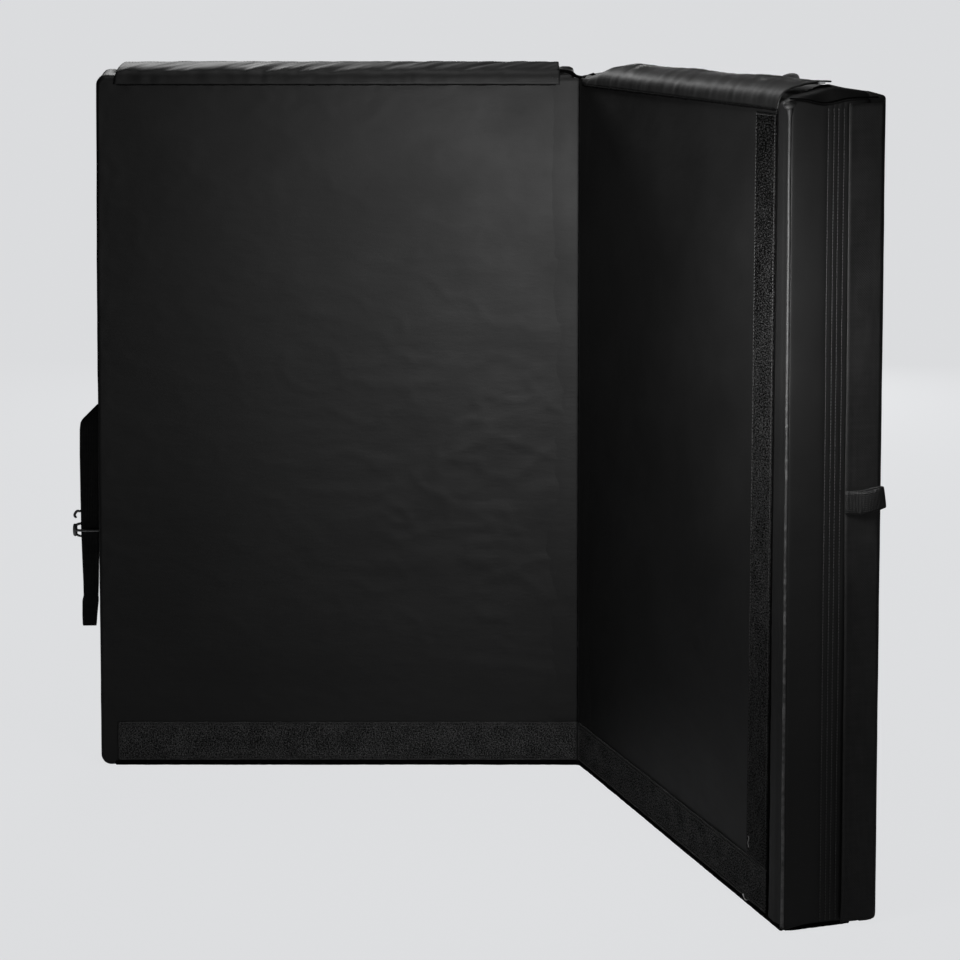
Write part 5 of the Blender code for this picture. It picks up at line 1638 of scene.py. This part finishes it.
def boxed(panel, area, w, top_shift=0.0):
    """World points round an area on a panel's face or back; its top may be shifted along the panel."""
    low_u, high_u, low_z, high_z = area
    top = [(high_u + top_shift, w, high_z), (low_u + top_shift, w, high_z)]
    corners = [(low_u, w, low_z), (high_u, w, low_z), *top, (low_u, w, low_z)]
    return [straight(panel, a, b) for a, b in zip(corners, corners[1:])]


def crossed(panel, area, w):
    """World points of a box stitch with a cross in it."""
    low_u, high_u, low_z, high_z = area
    rows = boxed(panel, area, w)
    rows.append(straight(panel, (low_u, w, low_z), (high_u, w, high_z)))
    rows.append(straight(panel, (low_u, w, high_z), (high_u, w, low_z)))
    return rows


def around(middle_u, half_u, low_z, high_z):
    """An area to both sides of a middle."""
    return middle_u - half_u, middle_u + half_u, low_z, high_z


def sew_ends(panels, tree):
    """The four rows of stitches down each outer end."""
    u = OUTER_END + 0.0001
    low_z, high_z = 0.010, HEIGHT - 0.012
    for panel, first_seed in zip(panels, (0, 5)):
        rows = []
        for number, w in enumerate(STITCH_ROWS):
            rows.append(straight(panel, (u, w, low_z), (u, w, high_z), 0.010, 0.00035, number + first_seed))
        sew(f"{panel.name}_end_stitches", tree, panel.body, rows, END_STITCH)


def sew_strips(left, right, tree):
    """The stitches round each loop strip."""
    boxes = {name: shrunk(strip[0], STRIP_INSET) for name, strip in STRIPS.items()}
    left_rows = boxed(left, boxes["left_bottom_loop_strip"], STRIP_STITCH_W)
    right_rows = boxed(right, boxes["right_bottom_loop_strip"], STRIP_STITCH_W)
    right_rows += boxed(right, shrunk(SIDE_STRIP_BOX, STRIP_INSET), STRIP_STITCH_W, SIDE_STRIP_SHIFT)
    sew("left_strip_stitches", tree, left.body, left_rows, STRIP_STITCH)
    sew("right_strip_stitches", tree, right.body, right_rows, STRIP_STITCH)


def sew_flaps(panels, tree, flap_surfaces):
    """The row of stitches near each top flap's free edge, and the tack at the left flap's corner."""
    for panel in panels:
        grid, normal = flap_surfaces[panel.name]
        points = grid[:, FLAP_STITCH_ROW] + normal[:, FLAP_STITCH_ROW] * STITCH_OUT
        body = f"{panel.name}_top_flap"
        sew(f"{body}_stitches", tree, body, [panel.places(points[2:-2:2])], FLAP_STITCH)
    tack = [[0.0330, 0.0008, 0.9008], [0.0270, 0.0008, 0.8994], [0.0268, 0.0008, 0.8993]]
    tack_rows = [panels[0].places(tack)]
    sew("left_flap_corner_tack", tree, "left_top_flap", tack_rows, TACK_STITCH)


def sew_backs(left, right, tree):
    """The box stitches and the patches' seams on both backs."""
    strap_face = SEWN_BACK + WEB_THICK + 0.0001
    rows = crossed(left, (0.534, 0.556, *ANCHOR_BOX_Z), strap_face)
    rows += crossed(left, (0.585, 0.607, *ANCHOR_BOX_Z), strap_face)
    sew("left_back_stitches", tree, left.body, rows, BACK_STITCH)
    back, over = BACK_STITCH_W, BACK_STITCH_W + OVER_WEBBING
    rows = boxed(right, around(MIDDLE, 0.0725, 0.8640, 0.8905), back)
    rows += boxed(right, around(MIDDLE, 0.155, 0.7422, 0.7978), back)
    for sign in (-1, 1):
        rows += crossed(right, around(MIDDLE + sign * TAB_U, 0.0085, 0.8675, 0.8870), over)
        rows += crossed(right, around(MIDDLE + sign * SHOULDER_U, 0.011, 0.175, 0.205), over)
        rows += boxed(right, around(MIDDLE + sign * HIP_U, 0.0205, 0.3195, 0.3605), back)
    sew("right_back_stitches", tree, right.body, rows, BACK_STITCH)


def main():
    add_camera()
    add_floor()
    add_light()
    joints = {joint["name"]: joint for joint in frame["joints"]}
    along = np.array(joints["right_top_flap_turn"]["axis"], float)
    fold_place = joints["fold"]["pos_m"]
    left = PanelSide("left", fold_place, (-1.0, 0.0, 0.0), (0.0, 1.0, 0.0))
    right = PanelSide("right", fold_place, along, (-along[1], along[0], 0.0))
    flap_surfaces = {}
    for panel in (left, right):
        add_landing_cover(panel)
        add_back_cover(panel)
        add_foams(panel)
        flap_surfaces[panel.name] = add_top_flap(panel)
        add_access_flap(panel)
    add_fold_web(left, right)
    add_fold_seam(left)
    add_fold_binding(left, right)
    add_end_trim(right)
    add_thread_ends(right)
    add_bottom_shade_piping(left, 0.6020, 0.0040)
    add_bottom_shade_piping(right, 0.6120, 0.0046)
    loop_strip("left_bottom_loop_strip", left)
    loop_strip("right_bottom_loop_strip", right)
    loop_strip("right_side_loop_strip", right)
    add_catch_loop(right)
    add_closure_strap(left)
    add_hook(left)
    add_patch("haul_loop_patch", right, around(MIDDLE, 0.075, 0.8616, HAUL_PATCH_TOP))
    add_haul_loop(right)
    add_patch("shoulder_yoke", right, around(MIDDLE, 0.157, 0.740, 0.800))
    for side, sign in (("inner", -1), ("outer", 1)):
        add_shoulder_strap(right, side, MIDDLE + sign * SHOULDER_U)
    add_hip_belt(right, "inner", MIDDLE - HIP_U, "hip_buckle_socket")
    add_hip_belt(right, "outer", MIDDLE + HIP_U, "hip_buckle_plug")
    tree = stitch_tree(thread_finish())
    sew_ends((left, right), tree)
    sew_strips(left, right, tree)
    sew_flaps((left, right), tree, flap_surfaces)
    sew_backs(left, right, tree)


main()
